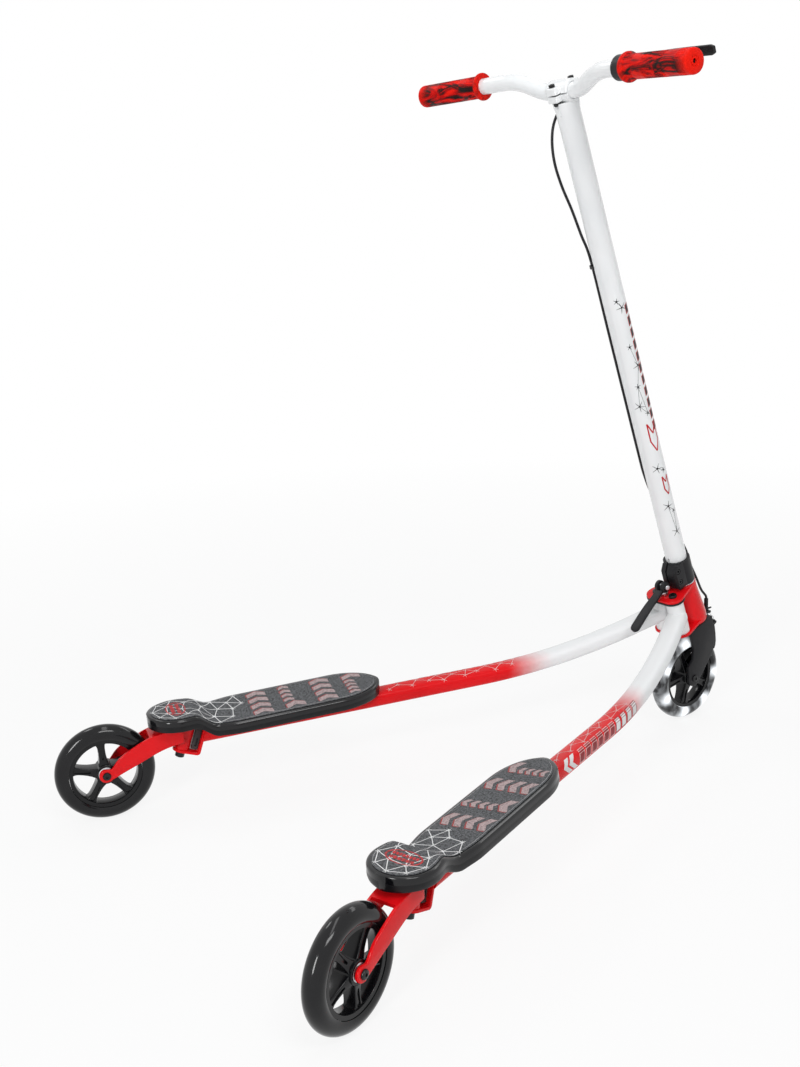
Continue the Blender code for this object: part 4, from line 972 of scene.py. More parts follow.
# %% [markdown]
# The cable leaves the lever, crosses behind the column, runs down its left side through a clip and
# curls round to the brake. It is held by the scooter all the way, so it is a bent tube on the same
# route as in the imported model, and not a cord that hangs free.

# %% Cable and clip
STOP_AHEAD, STOP_HEIGHT = 36.6, 170.0
STOP = shift(0, -STOP_AHEAD, STOP_HEIGHT) @ turn(RAKE, "X")


def grip_to_head(x, y, z):
    return (HEAD.inverted() @ grip_frame(-1) @ (Vector((x, y, z)) * MM)) / MM


cable_route = [grip_to_head(23.0, 0, -20.3), grip_to_head(23.0, 0, -30.0)]
cable_route += [Vector(p) for p in (
    (-72, -23, 1062), (-38, -31, 1052), (-6, -32, 1043), (18, -18, 1032), (25, 4, 1012), (25, 18, 990),
    (23, 26, 960), (20.5, 26, 926), (19.5, 19.4, 888), (18.0, 15.2, 850), (16.97, 9.8, 808),
    (16.97, 9.8, 700), (16.97, 9.8, 590), (16.97, 9.8, 490), (18.6, 7.2, 450), (20.4, -0.5, 410),
    (17.6, -10.8, 370), (9.4, -18.6, 335), (1.0, -24.6, 300), (0.0, -26.4, 270), (0.0, -32.4, 240),
    (0.0, -36.8, 214), (0.0, -40.8, 203.5), (0.0, -44.0, 196.5))]
upright = turn(RAKE, "X") @ Vector((0, 0, 1))
cable_route += [Vector((0, -STOP_AHEAD, STOP_HEIGHT)) + upright * above for above in (24.0, 20.0)]
cable_line = smooth_path(cable_route, 300)
stands_for(pipe(cable_line, 2.0, 24), "brake_cable", HEAD, housing)
from_node("cable_clip", black_paint, 0.3)
cable_length = sum((q - p).length for p, q in zip(cable_line, cable_line[1:]))
print("brake cable is", round(cable_length), "mm long")

# %% [markdown]
# ## Fork and brake
#
# The fork is cast in one piece round the front wheel. Its side view gives nearly all of its shape, so
# that outline is raised to the fork's width and rounded, and a wheel-sized drum is taken out of it.
# Lugs for the brake's pin and a rest for the cable's adjuster are joined on.

# %% The fork
FORK_HALF = 22.0
FORK_GAP = 17.2
WHEEL_ROOM = 77.0
AXLE_BOSS = 14.0
STEERER_RADIUS = 13.0
BRAKE_PIVOT = (-42.0, 147.0)

axle_spot = (HEAD.inverted() @ FRONT_WHEEL).translation / MM
fork_side = [(-27, 173), (-27, 150), (-21, 128), (-10, 110)]
fork_side += [(axle_spot.y + AXLE_BOSS * cos(radians(a)), axle_spot.z + AXLE_BOSS * sin(radians(a)))
              for a in range(215, 396, 12)]
fork_side += [(51, 116), (37, 124), (30, 140), (28, 173)]
fork = round_off(side_plate(fork_side, FORK_HALF), 1.4)
at_axle = shift(0, axle_spot.y, axle_spot.z) @ ACROSS
cut(fork, moved(rod(WHEEL_ROOM, -FORK_GAP, FORK_GAP, 128), at_axle), moved(rod(4.4, -40, 40), at_axle))
for x in (-7.3, 7.3):
    lug = side_plate([(-20, 157), (-38, 152.8), (-43.5, 151), (-45.6, 147), (-43.8, 143.3),
                      (-39, 141.5), (-20, 139)], 1.3)
    joined(fork, moved(lug, shift(x, 0, 0)))
cut(fork, moved(rod(2.5, -20, 20), shift(0, *BRAKE_PIVOT) @ ACROSS))
joined(fork, moved(round_off(block(-6.5, 6.5, -5.5, 12.0, -2.8, 1.2), 0.8), STOP))
cut(fork, moved(rod(2.7, -8, 8), STOP))
joined(fork, rod(STEERER_RADIUS, 170.0, 292.0, 64))
stands_for(fork, "fork", HEAD, black_paint)
print("fork faces:", len(fork.data.polygons))

# %% [markdown]
# A small plate brake sits on the fork's face. The cable's wire pulls the plate's horn up through an
# adjuster, which is a hollow bolt with a round collar. The plates have their right shape already in
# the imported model, so they could stay as they are, but softer edges catch the light.

# %% Brake plates, wire and adjuster
from_node("brake_arm", black_paint, 0.4)
from_node("brake_pad", black_rubber, 0.4)
from_node("brake_pin", black_steel, 0.3)

wire_low = 151.5
wire_line = [Vector((0, -STOP_AHEAD, wire_low - 1.0)), Vector((0, -STOP_AHEAD, 162.0)),
             STOP @ Vector((0, 0, -3.6 * MM)) / MM, STOP @ Vector((0, 0, 17.0 * MM)) / MM]
brake_wire = gathered(pipe(wire_line, 0.6, 16),
                      moved(soft_rod(1.7, wire_low - 2.6, wire_low, 0.4), shift(0, -STOP_AHEAD, 0)))
stands_for(brake_wire, "brake_wire", HEAD, bright_steel)

adjuster = turned([(1.2, -2.8), (2.3, -2.8), (2.3, 1.5), (4.4, 1.5), (4.4, 5.4), (3.5, 6.4),
                   (3.5, 21.0), (3.2, 22.0), (2.6, 22.0), (2.5, 19.0), (1.2, 19.0)], 48, bored=True)
nub = moved(turned([(1.9, 3.0), (1.3, 12.5)], 32), shift(0, 0, 3.5) @ turn(90, "X"))
stands_for(joined(adjuster, nub), "cable_adjuster", HEAD @ STOP, black_paint)
print("adjuster faces:", len(adjuster.data.polygons))

# %% [markdown]
# The return spring is one wire: a few turns round the brake's wire, then a leg that runs down to the
# plate's pivot and holds on there. A screw modifier could wind the turns, but the leg has to grow out
# of the last one without a joint, so the whole wire is one list of points.

# %% Return spring
TURN_STEPS = 20
COIL_TURNS, COIL_RADIUS, COIL_PITCH = 2.75, 2.6, 2.1
SPRING_FOOT = 157.225
coil = [Vector((COIL_RADIUS, -STOP_AHEAD, SPRING_FOOT + rise)) for rise in (0.0, 1.2)]
for k in range(1, round(COIL_TURNS * TURN_STEPS) + 1):
    angle = 2 * pi * k / TURN_STEPS
    coil.append(Vector((COIL_RADIUS * cos(angle), COIL_RADIUS * sin(angle) - STOP_AHEAD,
                        SPRING_FOOT + 2.0 + COIL_PITCH * k / TURN_STEPS)))
leg = [Vector((1.2, behind, height)) for behind, height in (
    (-42.0, 164.2), (-44.4, 161.2), (-46.2, 156.0), (-49.4, 151.4), (-51.0, 147.8), (-50.8, 145.2))]
boss = Vector((0, *BRAKE_PIVOT))
leg += [boss + Vector((0, -0.931, -0.365)) * reach for reach in (7.4, 5.5, 4.3)]
coil += smooth_path([coil[-1], *leg], 48)[1:]
stands_for(pipe(coil, 0.5, 12), "brake_spring", HEAD, bright_steel)
print("spring is", round(sum((q - p).length for p, q in zip(coil, coil[1:]))), "mm of wire")

# %% [markdown]
# ## Wheels
#
# Urethane is poured round a moulded core, and its skin comes out of the mould like glass. Plain black
# with no roughness would look like a hole, so the gloss rises and falls a little over the tread.

# %% Black urethane
urethane, tree, shader = new_finish("black urethane", BLACK, 0.09, coat=0.08, specular=0.28)
poured = ramp(tree, cloud(tree, 30.0, 3.0), (0.3, (0.003, 0.003, 0.004)), (0.7, (0.007, 0.007, 0.008)))
wire(tree, shader, poured, calc(tree, "MULTIPLY_ADD", cloud(tree, 24.0, 3.0), 0.08, 0.07),
     cloud(tree, 700.0, 2.0), 0.03, 0.0001)
print("black urethane ready")

# %% [markdown]
# The front tyre is clear and smoky, with small lamps in the core that glow through it. Real lamps
# behind glass would be slow and noisy to render, so the glow is in the tyre's own shader: seven soft
# spots set by their angle round the axle, on a ring inside the tread, over a faint uneven glow painted
# all over the tyre.

# %% The glowing tyre
LAMP_COUNT = 7.0
LAMP_TURN = radians(28.0)
LAMP_RING = 0.060
smoke, tree, shader = new_finish("smoky urethane", (0.03, 0.031, 0.034), 0.14, coat=0.1, specular=0.25)
place = add(tree, "SeparateXYZ", {0: add(tree, "TexCoord").outputs["Object"]})
wobble = calc(tree, "MULTIPLY_ADD", cloud(tree, 34.0, 2.0), 0.4, -0.2)
angle = calc(tree, "ADD", calc(tree, "ARCTAN2", place.outputs["Z"], place.outputs["Y"]), wobble)
wave = calc(tree, "COSINE", calc(tree, "MULTIPLY_ADD", angle, LAMP_COUNT, -LAMP_TURN * LAMP_COUNT))
near_lamp = calc(tree, "POWER", calc(tree, "MULTIPLY_ADD", wave, 0.5, 0.5), 3.5)
radius = calc(tree, "SQRT", calc(tree, "ADD", calc(tree, "POWER", place.outputs["Y"], 2.0),
                                 calc(tree, "POWER", place.outputs["Z"], 2.0)))
ring_place = calc(tree, "MULTIPLY", calc(tree, "SUBTRACT", radius, LAMP_RING), 85.0)
near_ring = calc(tree, "SUBTRACT", 1.0, calc(tree, "POWER", ring_place, 2.0), clamp=True)
# A faint glow painted all over the tyre, uneven by a noise, added to the lamps' spots.
stray_glow = calc(tree, "MULTIPLY_ADD", cloud(tree, 40.0, 3.0, 0.5, 0.6), 0.9, -0.39, clamp=True)
glow = calc(tree, "MULTIPLY_ADD", near_lamp, near_ring, stray_glow, clamp=True)
tree.links.new(mixed(tree, glow, (0.0, 0.0, 0.0), (0.92, 0.96, 1.0)), shader.inputs["Emission Color"])
shader.inputs["Emission Strength"].default_value = 1.5
smoky = ramp(tree, cloud(tree, 34.0, 4.0), (0.35, (0.006, 0.006, 0.007)), (0.65, (0.055, 0.057, 0.061)))
wire(tree, shader, smoky, calc(tree, "MULTIPLY_ADD", cloud(tree, 70.0, 4.0), 0.2, 0.06),
     cloud(tree, 500.0, 2.0), 0.05, 0.0001)
print(round(LAMP_COUNT), "lamps in the front tyre")

# %% [markdown]
# A tyre is a round section spun about the axle. The core is a rim, a hub and five spokes that flare
# where they meet the rim. It could be one outline with holes, but a real core is thick at the hub and
# thin at the rim, so each spoke is lofted and then joined on.

# %% A tyre and a core
TYRE_RING = 59.0
WHEEL_STEPS = 120
BEARING_SEAT = 11.5
SPOKE_ANGLES = range(0, 360, 72)


def tyre(half):
    """A tyre's section runs from one bead over the tread to the other."""
    angles = [radians(-28 + 236 * k / 28) for k in range(29)]
    profile = [(TYRE_RING + (WHEEL_RADIUS - TYRE_RING) * sin(a), half * cos(a)) for a in angles]
    return moved(turned(profile, WHEEL_STEPS, bored=True), ACROSS)


def spoke(angle):
    rings = []
    for reach, half, thick, back in ((12.4, 7.6, 11.6, 0), (16, 6.6, 11.2, 0.2), (20, 5.9, 10.4, 0.6),
                                     (26, 5.3, 9.5, 1.0), (33, 5.1, 9.1, 1.5), (39, 5.3, 8.9, 1.9),
                                     (43, 6.0, 8.8, 2.1), (46, 7.6, 8.8, 2.3), (49, 10.2, 8.8, 2.4)):
        rings.append([Vector((reach, back + y, z)) for y, z in rounded(half, thick, 1.6)])
    return moved(loft(rings), turn(angle, "Z"))


def pocket(angle, face):
    slot = band([(23.5, 0.9, 1.5), (34.0, 1.6, 1.9), (43.0, 2.2, 3.2)], 0, 6, 24)
    return moved(slot, turn(angle, "Z") @ shift(0, 0, 7.4 if face > 0 else -13.4))


def wheel_core():
    core = turned([(46.5, -9.8), (47.0, -10.6), (52.2, -11), (52.2, 11), (47.0, 10.6), (46.5, 9.8)],
                  WHEEL_STEPS, bored=True)
    joined(core, *[spoke(angle) for angle in SPOKE_ANGLES])
    joined(core, tube(BEARING_SEAT, 14.6, -14.4, 14.4, 0.8))
    cut(core, rod(BEARING_SEAT, -30, 30, 64))
    for angle in SPOKE_ANGLES:
        cut(core, pocket(angle, 1), pocket(angle, -1))
    return core


core_master = wheel_core()
print("wheel core faces:", len(core_master.data.polygons))

# %% [markdown]
# Two bearings with a spacer between them sit in the hub, and a bolt and a nut clamp them to the fork.
# Only the ends show beside the fork's blades, so one turned sleeve stands for the three.

# %% Bearings and axles
def bearings(inner_face):
    end = inner_face - 0.3
    return moved(turned([(4.3, -end), (6.4, -end), (11.0, -14.0), (11.0, 14.0), (6.4, end), (4.3, end)],
                        64, bored=True), ACROSS)


def axle(name, place, half):
    bolt = turned([(3.2, -half - 3.4), (5.2, -half - 2.9), (6.0, -half - 1.7), (6.0, -half - 0.3),
                   (3.9, -half - 0.3), (3.9, half + 5.6)], 48)
    cut(bolt, prism(hexagon(2.4), -half - 6, -half - 1.6))
    stands_for(moved(bolt, ACROSS), name + "_axle_bolt", place, black_steel)
    nut = cut(hex_nut(6.4, half + 0.3, half + 5.0), rod(4.2, half - 5, half + 15))
    stands_for(moved(nut, ACROSS), name + "_axle_nut", place, bright_steel)


print("bearings and axles ready")

# %% [markdown]
# All three wheels share one core, so it is built once and copied. Each copy is turned to the angle at
# which its spokes stand in the photograph.

# %% The three wheels
CASTER_HALF = 20.2
CASTER_GAP = 16.4
FRONT_TYRE_HALF = 14.0
REAR_TYRE_HALF = 13.5
FRONT_SPOKE_TURN = 10
REAR_SPOKE_TURN = {"left": 29, "right": 66}


def turned_core(angle):
    return moved(moved(put("copy", core_master.data.copy()), turn(angle, "Z")), ACROSS)


stands_for(tyre(FRONT_TYRE_HALF), "front_tyre", FRONT_WHEEL, smoke)
stands_for(turned_core(FRONT_SPOKE_TURN), "front_wheel_core", FRONT_WHEEL, core_black)
stands_for(bearings(FORK_GAP), "front_bearings", FRONT_WHEEL, bright_steel)
axle("front", FRONT_WHEEL, FORK_HALF)
for side, word in SIDES:
    at_wheel = wheel_frame(side)
    stands_for(tyre(REAR_TYRE_HALF), "rear_tyre_" + word, at_wheel, urethane)
    stands_for(turned_core(REAR_SPOKE_TURN[word]), "rear_wheel_core_" + word, at_wheel, core_black)
    stands_for(bearings(CASTER_GAP), "rear_bearings_" + word, at_wheel, bright_steel)
    axle("rear_" + word, at_wheel, CASTER_HALF)
bpy.data.objects.remove(core_master, do_unlink=True)
print("three wheels, spokes turned by", FRONT_SPOKE_TURN, "and", tuple(REAR_SPOKE_TURN.values()))

# %% [markdown]
# ## Arms
#
# The arms' paint fades from white at the head to red, softly and a little unevenly. Two materials
# would meet at a hard line, so one material fades over a range of the scooter's length, and a fine
# noise breaks the edge.

# %% Faded paint
FADE_START = -0.228
FADE_END = -0.145
faded_paint, tree, shader = new_finish("white to red lacquer", RED, 0.2, coat=0.05, coat_rough=0.06,
                                       specular=0.14)
along = add(tree, "SeparateXYZ", {0: add(tree, "TexCoord").outputs["Object"]}).outputs["Y"]
broken = calc(tree, "MULTIPLY_ADD", cloud(tree, 120.0, 5.0), 0.012, along)
share = add(tree, "MapRange", {"Value": broken, "From Min": FADE_START, "From Max": FADE_END},
            interpolation_type="SMOOTHSTEP").outputs[0]
reds, dull, peel = sprayed(tree, RED, DEEP_RED, 0.22)
wire(tree, shader, mixed(tree, share, WHITE, reds), dull, peel, 0.05, 0.00012)
print("paint fades over", round((FADE_END - FADE_START) / MM), "mm")

# %% [markdown]
# Each arm leaves the head level, bends outwards and runs back to its caster. Its middle line is a
# straight, a wide parabola and another straight. One curve object could follow that line, but the
# prints have to find their way along it later, so it is a function of one number.

# %% Along an arm
ARM_START = Vector((0, 0, 0.2145))  # in metres, in the pivot bolt's frame
ARM_END = Vector((0, -0.025, 0.020))  # in metres, in the swivel's frame
ARM_BEND_AHEAD, ARM_BEND_HEIGHT = 257.2, 123.5
ARM_END_HEIGHT = 107.0
ARM_EASE = 150.0


def arm_point(side, q):
    """A point of the arm's centre line: q runs from 0 at the sleeve to 9 at the swivel bracket."""
    start = pivot_frame(side) @ ARM_START / MM
    swivel = swivel_frame(side) @ ARM_END / MM
    across = swivel.x - side * tan(radians(SPLAY)) * (swivel.y + ARM_BEND_AHEAD)
    bend = Vector((across, -ARM_BEND_AHEAD, ARM_BEND_HEIGHT))
    end = Vector((swivel.x, swivel.y, ARM_END_HEIGHT))
    first = bend + (start - bend).normalized() * ARM_EASE
    second = bend + (end - bend).normalized() * ARM_EASE
    if q < 1:
        return start.lerp(first, q)
    if q > 8:
        return second.lerp(end, q - 8)
    t = (q - 1) / 7
    return first.lerp(bend, t).lerp(bend.lerp(second, t), t)


def arm_section(side, q):
    """The arm's centre, its direction across and its direction up at q."""
    along = (arm_point(side, min(q + 0.05, 9)) - arm_point(side, max(q - 0.05, 0))).normalized()
    upright_head = HEAD.to_3x3() @ Vector((0, 0, 1))
    level_deck = deck_frame(side).to_3x3() @ Vector((0, 0, 1))
    lift = upright_head.lerp(level_deck, min(1.0, q / 8)).normalized()
    across = along.cross(lift).normalized()
    return arm_point(side, q), across, across.cross(along)


print("left arm ends at", tuple(round(v) for v in arm_point(1, 9)), "mm")

# %% [markdown]
# The arm's section is a rectangle with very round corners, a power curve between an oval and a box.
# At the rear the arm is welded to a bracket for the swivel bolt. That is a strip bent into a U, so
# its corners keep the bend's radius instead of a welded box's sharp ones.

# %% Arm tube and swivel bracket
ARM_WIDE, ARM_HIGH, ARM_CORNER = 16.0, 12.5, 2 / 3
WEB_AHEAD = 27.0
BRACKET_TOP = 45.3
BRACKET_HALF = 12.98
SWIVEL_HOLE = 4.6


def arm_tube(side, extra=0.0, sides=48):
    stops = [k / 6 for k in range(49)] + [8 + k / 8 for k in range(1, 9)]
    rings = []
    for q in stops:
        centre, across, up = arm_section(side, q)
        ring = []
        for k in range(sides):
            angle = 2 * pi * (k + 0.5) / sides
            u = abs(cos(angle)) ** ARM_CORNER * (1 if cos(angle) > 0 else -1)
            v = abs(sin(angle)) ** ARM_CORNER * (1 if sin(angle) > 0 else -1)
            ring.append(centre + across * u * (ARM_WIDE + extra) + up * v * (ARM_HIGH + extra))
        rings.append(ring)
    return loft(rings)


def swivel_bracket():
    """A strip bent into a U: its corners keep the bend's radius, and its ends are round in plan."""
    wall, bend = 4.0, 5.0
    back, top = -WEB_AHEAD, BRACKET_TOP
    angles = [radians(a) for a in range(0, 91, 15)]
    outer = [(back + bend - bend * sin(a), bend - bend * cos(a)) for a in angles]
    outer += [(back + bend - bend * cos(a), top - bend + bend * sin(a)) for a in angles]
    profile = [(13.5, 0)] + outer + [(13.5, top), (13.5, top - wall), (back + wall, top - wall),
                                     (back + wall, wall), (13.5, wall)]
    plan = [(BRACKET_HALF, back - 1)]
    plan += [(BRACKET_HALF * cos(pi * k / 20), BRACKET_HALF * sin(pi * k / 20)) for k in range(20)]
    plan += [(-BRACKET_HALF, 0), (-BRACKET_HALF, back - 1)]
    strip = combine(side_plate(profile, 20), prism(plan, -5, top + 5), "INTERSECT")
    return cut(round_off(strip, 0.6), rod(SWIVEL_HOLE, -20, 80))


print("bracket is", BRACKET_TOP, "mm high")

# %% [markdown]
# The tube, a sleeve for the pivot bolt and the bracket are welded and painted as one. They could stay
# three pieces, but joined they show no gap under the paint. The stop that limits the caster's turn
# is a slotted block of grey steel, drawn up to the bracket's upper plate so that its dark grey also
# fills the shaded gap between the barrel and the bracket's web, as painted shade.

# %% The arms
for side, word in SIDES:
    at_pivot, at_swivel = pivot_frame(side), swivel_frame(side)
    arm = cut(arm_tube(side), moved(block(-30, 30, 2.0 - WEB_AHEAD, 30, -20, 60), at_swivel))
    joined(arm, moved(rod(14.0, 185.8, 244.2, 72), at_pivot), moved(swivel_bracket(), at_swivel))
    cut(arm, moved(rod(PIVOT_HOLE, 100, 300), at_pivot),
        moved(rod(LOCK_ROD_HOLE, 100, 300), HEAD @ shift(0, PIVOT_BEHIND, 0)))
    stands_for(arm, "arm_" + word, WORLD, faded_paint)
    bolt = turned([(5.6, -9.5), (6.8, -8.8), (7.0, -8.2), (7.0, -1.8), (8.5, -1.8), (8.5, -0.3),
                   (4.2, -0.3), (4.2, 48.1), (3.8, 48.5)], 48)
    cut(bolt, prism(hexagon(3.2), -12, -6.5))
    stands_for(bolt, "swivel_bolt_" + word, at_swivel, black_steel)
    # Drawn up to the upper plate, the block's dark grey also fills the shaded gap by the barrel: partly
    # the real stop, partly a dark stand-in for shade.
    stop = round_off(block(-6.5, 6.5, -22.7, -12.9, 7.0, 41.0), 0.7)
    for face in (-1, 1):
        cut(stop, moved(band([(-18.2, 12.5, 1.7), (-18.2, 23.5, 1.7)], 3.5, 9.0, 24),
                        Matrix(((0, 0, face), (1, 0, 0), (0, 1, 0))).to_4x4()))
    stands_for(stop, "caster_stop_" + word, at_swivel, dull_steel)
    print(word, "arm faces:", len(arm.data.polygons))

# %% [markdown]
# ## Casters
#
# Each caster fork is a casting that sweeps from the wheel's axle up to a tilted barrel. It could be
# lofted, but its sides are flat and parallel. So its side view, a smooth closed curve, is raised to
# the fork's width, rounded, and opened for the wheel.

# %% Caster forks
UPPER_EDGE = ((8, 8.5), (22, 24.5), (45, 37.5), (62, 45.5), (80, 50.5), (98, 52.0), (116, 50.5))
LOWER_EDGE = ((116, 30.5), (96, 27.5), (80, 23.0), (66, 17.5), (50, 10.5), (26, 0.5), (7, -8.0))
WHEEL_OPENING = ((-60, -60), (-60, 60), (66, 60), (66, 42.0), (80, 46.0), (98, 47.6), (140, 26),
                 (140, -60))
CASTER_BOSS = 10.6
TO_WHEEL = Matrix(((0, 0, 1), (-1, 0, 0), (0, 1, 0))).to_4x4()


def fine_edge(points):
    return [(p.x, p.y) for p in smooth_path([Vector((x, y, 0)) for x, y in points], 28)]


caster_side = fine_edge(UPPER_EDGE) + fine_edge(LOWER_EDGE)
caster_side += [(CASTER_BOSS * cos(radians(a)), CASTER_BOSS * sin(radians(a)))
                for a in range(-50, -249, -11)]
for side, word in SIDES:
    at_wheel, at_swivel = wheel_frame(side), swivel_frame(side)
    caster = round_off(moved(prism(caster_side, -CASTER_HALF, CASTER_HALF), TO_WHEEL), 1.6, 4)
    cut(caster, moved(prism(WHEEL_OPENING, -CASTER_GAP, CASTER_GAP), TO_WHEEL))
    to_swivel = at_wheel.inverted() @ at_swivel
    barrel = rod(11.5, 4.3, BRACKET_TOP - 4.3, 64)
    joined(barrel, band([(0, 0, 11.9), (0, 14, 15)], 24.0, 38.5))
    joined(caster, moved(barrel, to_swivel))
    cut(caster, moved(rod(SWIVEL_HOLE, -40, 80), to_swivel), moved(rod(4.3, -40, 40), ACROSS))
    stands_for(caster, "caster_fork_" + word, at_wheel, red_paint)
    print(word, "caster faces:", len(caster.data.polygons))

# %% [markdown]
# ## Decks
#
# A deck is moulded nylon: a long rounded sole with a raised heel. Its plan is a half circle at the
# heel, a waist, straight sides and half an oval at the toe. One function gives the half width, and
# another lifts and levels the heel, so that the deck, its tape and its prints all follow one shape.

# %% Deck plan and heel
DECK_REAR, DECK_FRONT = -35.0, 322.5
HEEL_CENTRE, WAIST_AT, SOLE_FROM, TOE_FROM = 9.0, 48, 100, 250
HEEL_RADIUS, WAIST_HALF, SOLE_HALF = 44.0, 38.5, 44.5
HEEL_RISE = 18.5
HEEL_LEVEL_TO, SOLE_LEVEL_FROM = 28, 64


def deck_half(u, inset=0.0):
    """Half the deck's width at u ahead of the ankle, drawn in by an inset."""
    if u < HEEL_CENTRE:
        return sqrt(max((HEEL_RADIUS - inset) ** 2 - (u - HEEL_CENTRE) ** 2, 0))
    if u < WAIST_AT:
        share = (1 + cos(pi * (u - HEEL_CENTRE) / (WAIST_AT - HEEL_CENTRE))) / 2
        return WAIST_HALF + (HEEL_RADIUS - WAIST_HALF) * share - inset
    if u < SOLE_FROM:
        share = (1 + cos(pi * (u - WAIST_AT) / (SOLE_FROM - WAIST_AT))) / 2
        return SOLE_HALF - (SOLE_HALF - WAIST_HALF) * share - inset
    if u < TOE_FROM:
        return SOLE_HALF - inset
    reach = (u - TOE_FROM) / (DECK_FRONT - inset - TOE_FROM)
    return (SOLE_HALF - inset) * sqrt(max(1 - reach ** 2, 0))


def deck_point(side, u, x, z):
    """A point of the deck's section at u; the heel stands higher and is level both ways."""
    ramp_share = min(1.0, max(0.0, (u - HEEL_LEVEL_TO) / (SOLE_LEVEL_FROM - HEEL_LEVEL_TO)))
    share = (1 + cos(pi * ramp_share)) / 2
    level = radians(side * DECK_ROLL * share)
    rise = share * (HEEL_RISE - u * sin(radians(DECK_PITCH)))
    return Vector((x * cos(level) + z * sin(level), -u, rise - x * sin(level) + z * cos(level)))


print("deck is", DECK_FRONT - DECK_REAR, "mm long")

# %% [markdown]
# The deck could be a box under a subdivision modifier, but its rim has to roll over evenly all round.
# So it is lofted from many sections, close together where the plan curves. The upper part of its side
# is glossy and the lower part satin, and the loft gives those bands a second material.

# %% Decks
def deck_stops(inset):
    rear, front = DECK_REAR + inset, DECK_FRONT - inset
    stops = [rear + HEEL_RADIUS * (1 - cos(radians(6 + 84 * k / 14))) for k in range(15)]
    stops += [*range(12, 104, 3), *range(106, TOE_FROM, 12)]
    stops += [TOE_FROM + (front - TOE_FROM) * sin(radians(90 * k / 18)) for k in range(18)]
    stops.append(front - 0.2)
    return sorted(stop for stop in set(stops) if stop > rear)


def deck_ring(side, u):
    half = max(deck_half(u), 3.0)
    roll = min(4.6, half * 0.3)
    foot = min(4.0, half * 0.4)
    upper = [(half, -8.9), (half, -roll)]
    upper += [(half - roll + roll * cos(radians(a)), roll * sin(radians(a)) - roll)
              for a in (22, 45, 68, 90)]
    lower = [(half - foot, -19.5), (half - 0.3 * foot, -18.3), (half, -15.5), (half, -9.2)]
    right = lower + upper
    return [deck_point(side, u, x, z) for x, z in right + [(-x, z) for x, z in right[::-1]]]


def deck_body(side):
    return loft([deck_ring(side, u) for u in deck_stops(0.0)], second=(0, 1, 2, 16, 17, 18))


satin_black = moulded("satin black nylon", (0.006, 0.006, 0.007), (0.003, 0.003, 0.004),
                      rough=0.34, grain=1200.0, relief=0.2)
for side, word in SIDES:
    deck = deck_body(side)
    for paint in (gloss_black, satin_black):
        deck.data.materials.append(paint)
    to_deck = deck_frame(side).inverted()
    room = moved(block(-15.5, 15.5, -31.0, 16.0, -30.0, BRACKET_TOP + 4.5), swivel_frame(side))
    cut(deck, moved(arm_tube(side, 0.5), to_deck), moved(room, to_deck))
    stands_for(deck, "deck_" + word, deck_frame(side), gloss_black, satin_black)
    print(word, "deck faces:", len(deck.data.polygons))

# %% [markdown]
# ## Grip tape
#
# The tape is a sheet of coarse grit, and ink lies on the grains but not in the pits between them. One
# noise drives colour, dullness and relief alike, so the pits are darker and the grains' tops lighter:
# partly the grit's own speckle and partly painted shade in the pits.

# %% Grit and inks
GRAIN = 430.0
grit, tree, shader = new_finish("grip tape", (0.07, 0.075, 0.08), 0.85)
grains = cloud(tree, GRAIN, 6.0, 0.85)
# Dark in the pits and light on the grains' tops: partly the grit's own speckle, partly painted shade.
wire(tree, shader, ramp(tree, grains, (0.42, (0.008, 0.009, 0.010)), (0.60, (0.165, 0.17, 0.18))),
     calc(tree, "MULTIPLY_ADD", grains, 0.25, 0.68), grains, 0.8, 0.0004)


def ink(name, colour, shade):
    """Ink over grit: dull, full on the grains and thin in the pits, where its darker colour is partly
    painted shade.
    """
    made, tree, shader = new_finish(name, colour, 0.6)
    grains = cloud(tree, GRAIN, 6.0, 0.85)
    wire(tree, shader, ramp(tree, grains, (0.40, shade), (0.52, colour)),
         calc(tree, "MULTIPLY_ADD", grains, 0.3, 0.45), grains, 0.5, 0.0003)
    return made


pink_ink = ink("pale pink ink", (0.47, 0.36, 0.36), (0.13, 0.09, 0.09))
dark_red_ink = ink("dark red ink", (0.36, 0.035, 0.035), (0.10, 0.02, 0.02))
red_ink = ink("red ink", (0.60, 0.020, 0.026), (0.03, 0.02, 0.02))
white_ink = ink("white ink", (0.90, 0.90, 0.90), (0.72, 0.72, 0.72))
pale_ink = ink("pale grey ink", (0.45, 0.45, 0.45), (0.2, 0.2, 0.2))
print("grit and five inks")

# %% [markdown]
# The tape follows the deck's plan, drawn in by a few millimetres, and is bent over the heel by the
# same function. A cut sheet could be shrink-wrapped on, but this way it has a thickness and an edge.

# %% Tape sheet
TAPE_INSET = 6.0
TAPE_FOOT, TAPE_TOP = 0.3, 1.3


def tape_body(side):
    rings = []
    for u in deck_stops(TAPE_INSET):
        half = max(deck_half(u, TAPE_INSET), 2.0)
        section = [(half, TAPE_FOOT), (half, 1.2), (half - 0.2, TAPE_TOP), (0.5 * half, TAPE_TOP),
                   (0, TAPE_TOP), (-0.5 * half, TAPE_TOP), (0.2 - half, TAPE_TOP), (-half, 1.2),
                   (-half, TAPE_FOOT), (0, TAPE_FOOT)]
        rings.append([deck_point(side, u, x, z) for x, z in section])
    return loft(rings)


for side, word in SIDES:
    stands_for(tape_body(side), "grip_tape_" + word, deck_frame(side), grit)
print("tape stops:", len(deck_stops(TAPE_INSET)))

# %% [markdown]
# A print is flat ink. It could be part of the tape's shader, but then its edges would be as coarse as
# the noise that draws them. So each ink is a thin sheet a tenth of a millimetre above the surface,
# divided finely enough to bend with it, and laid by a function that knows the surface.

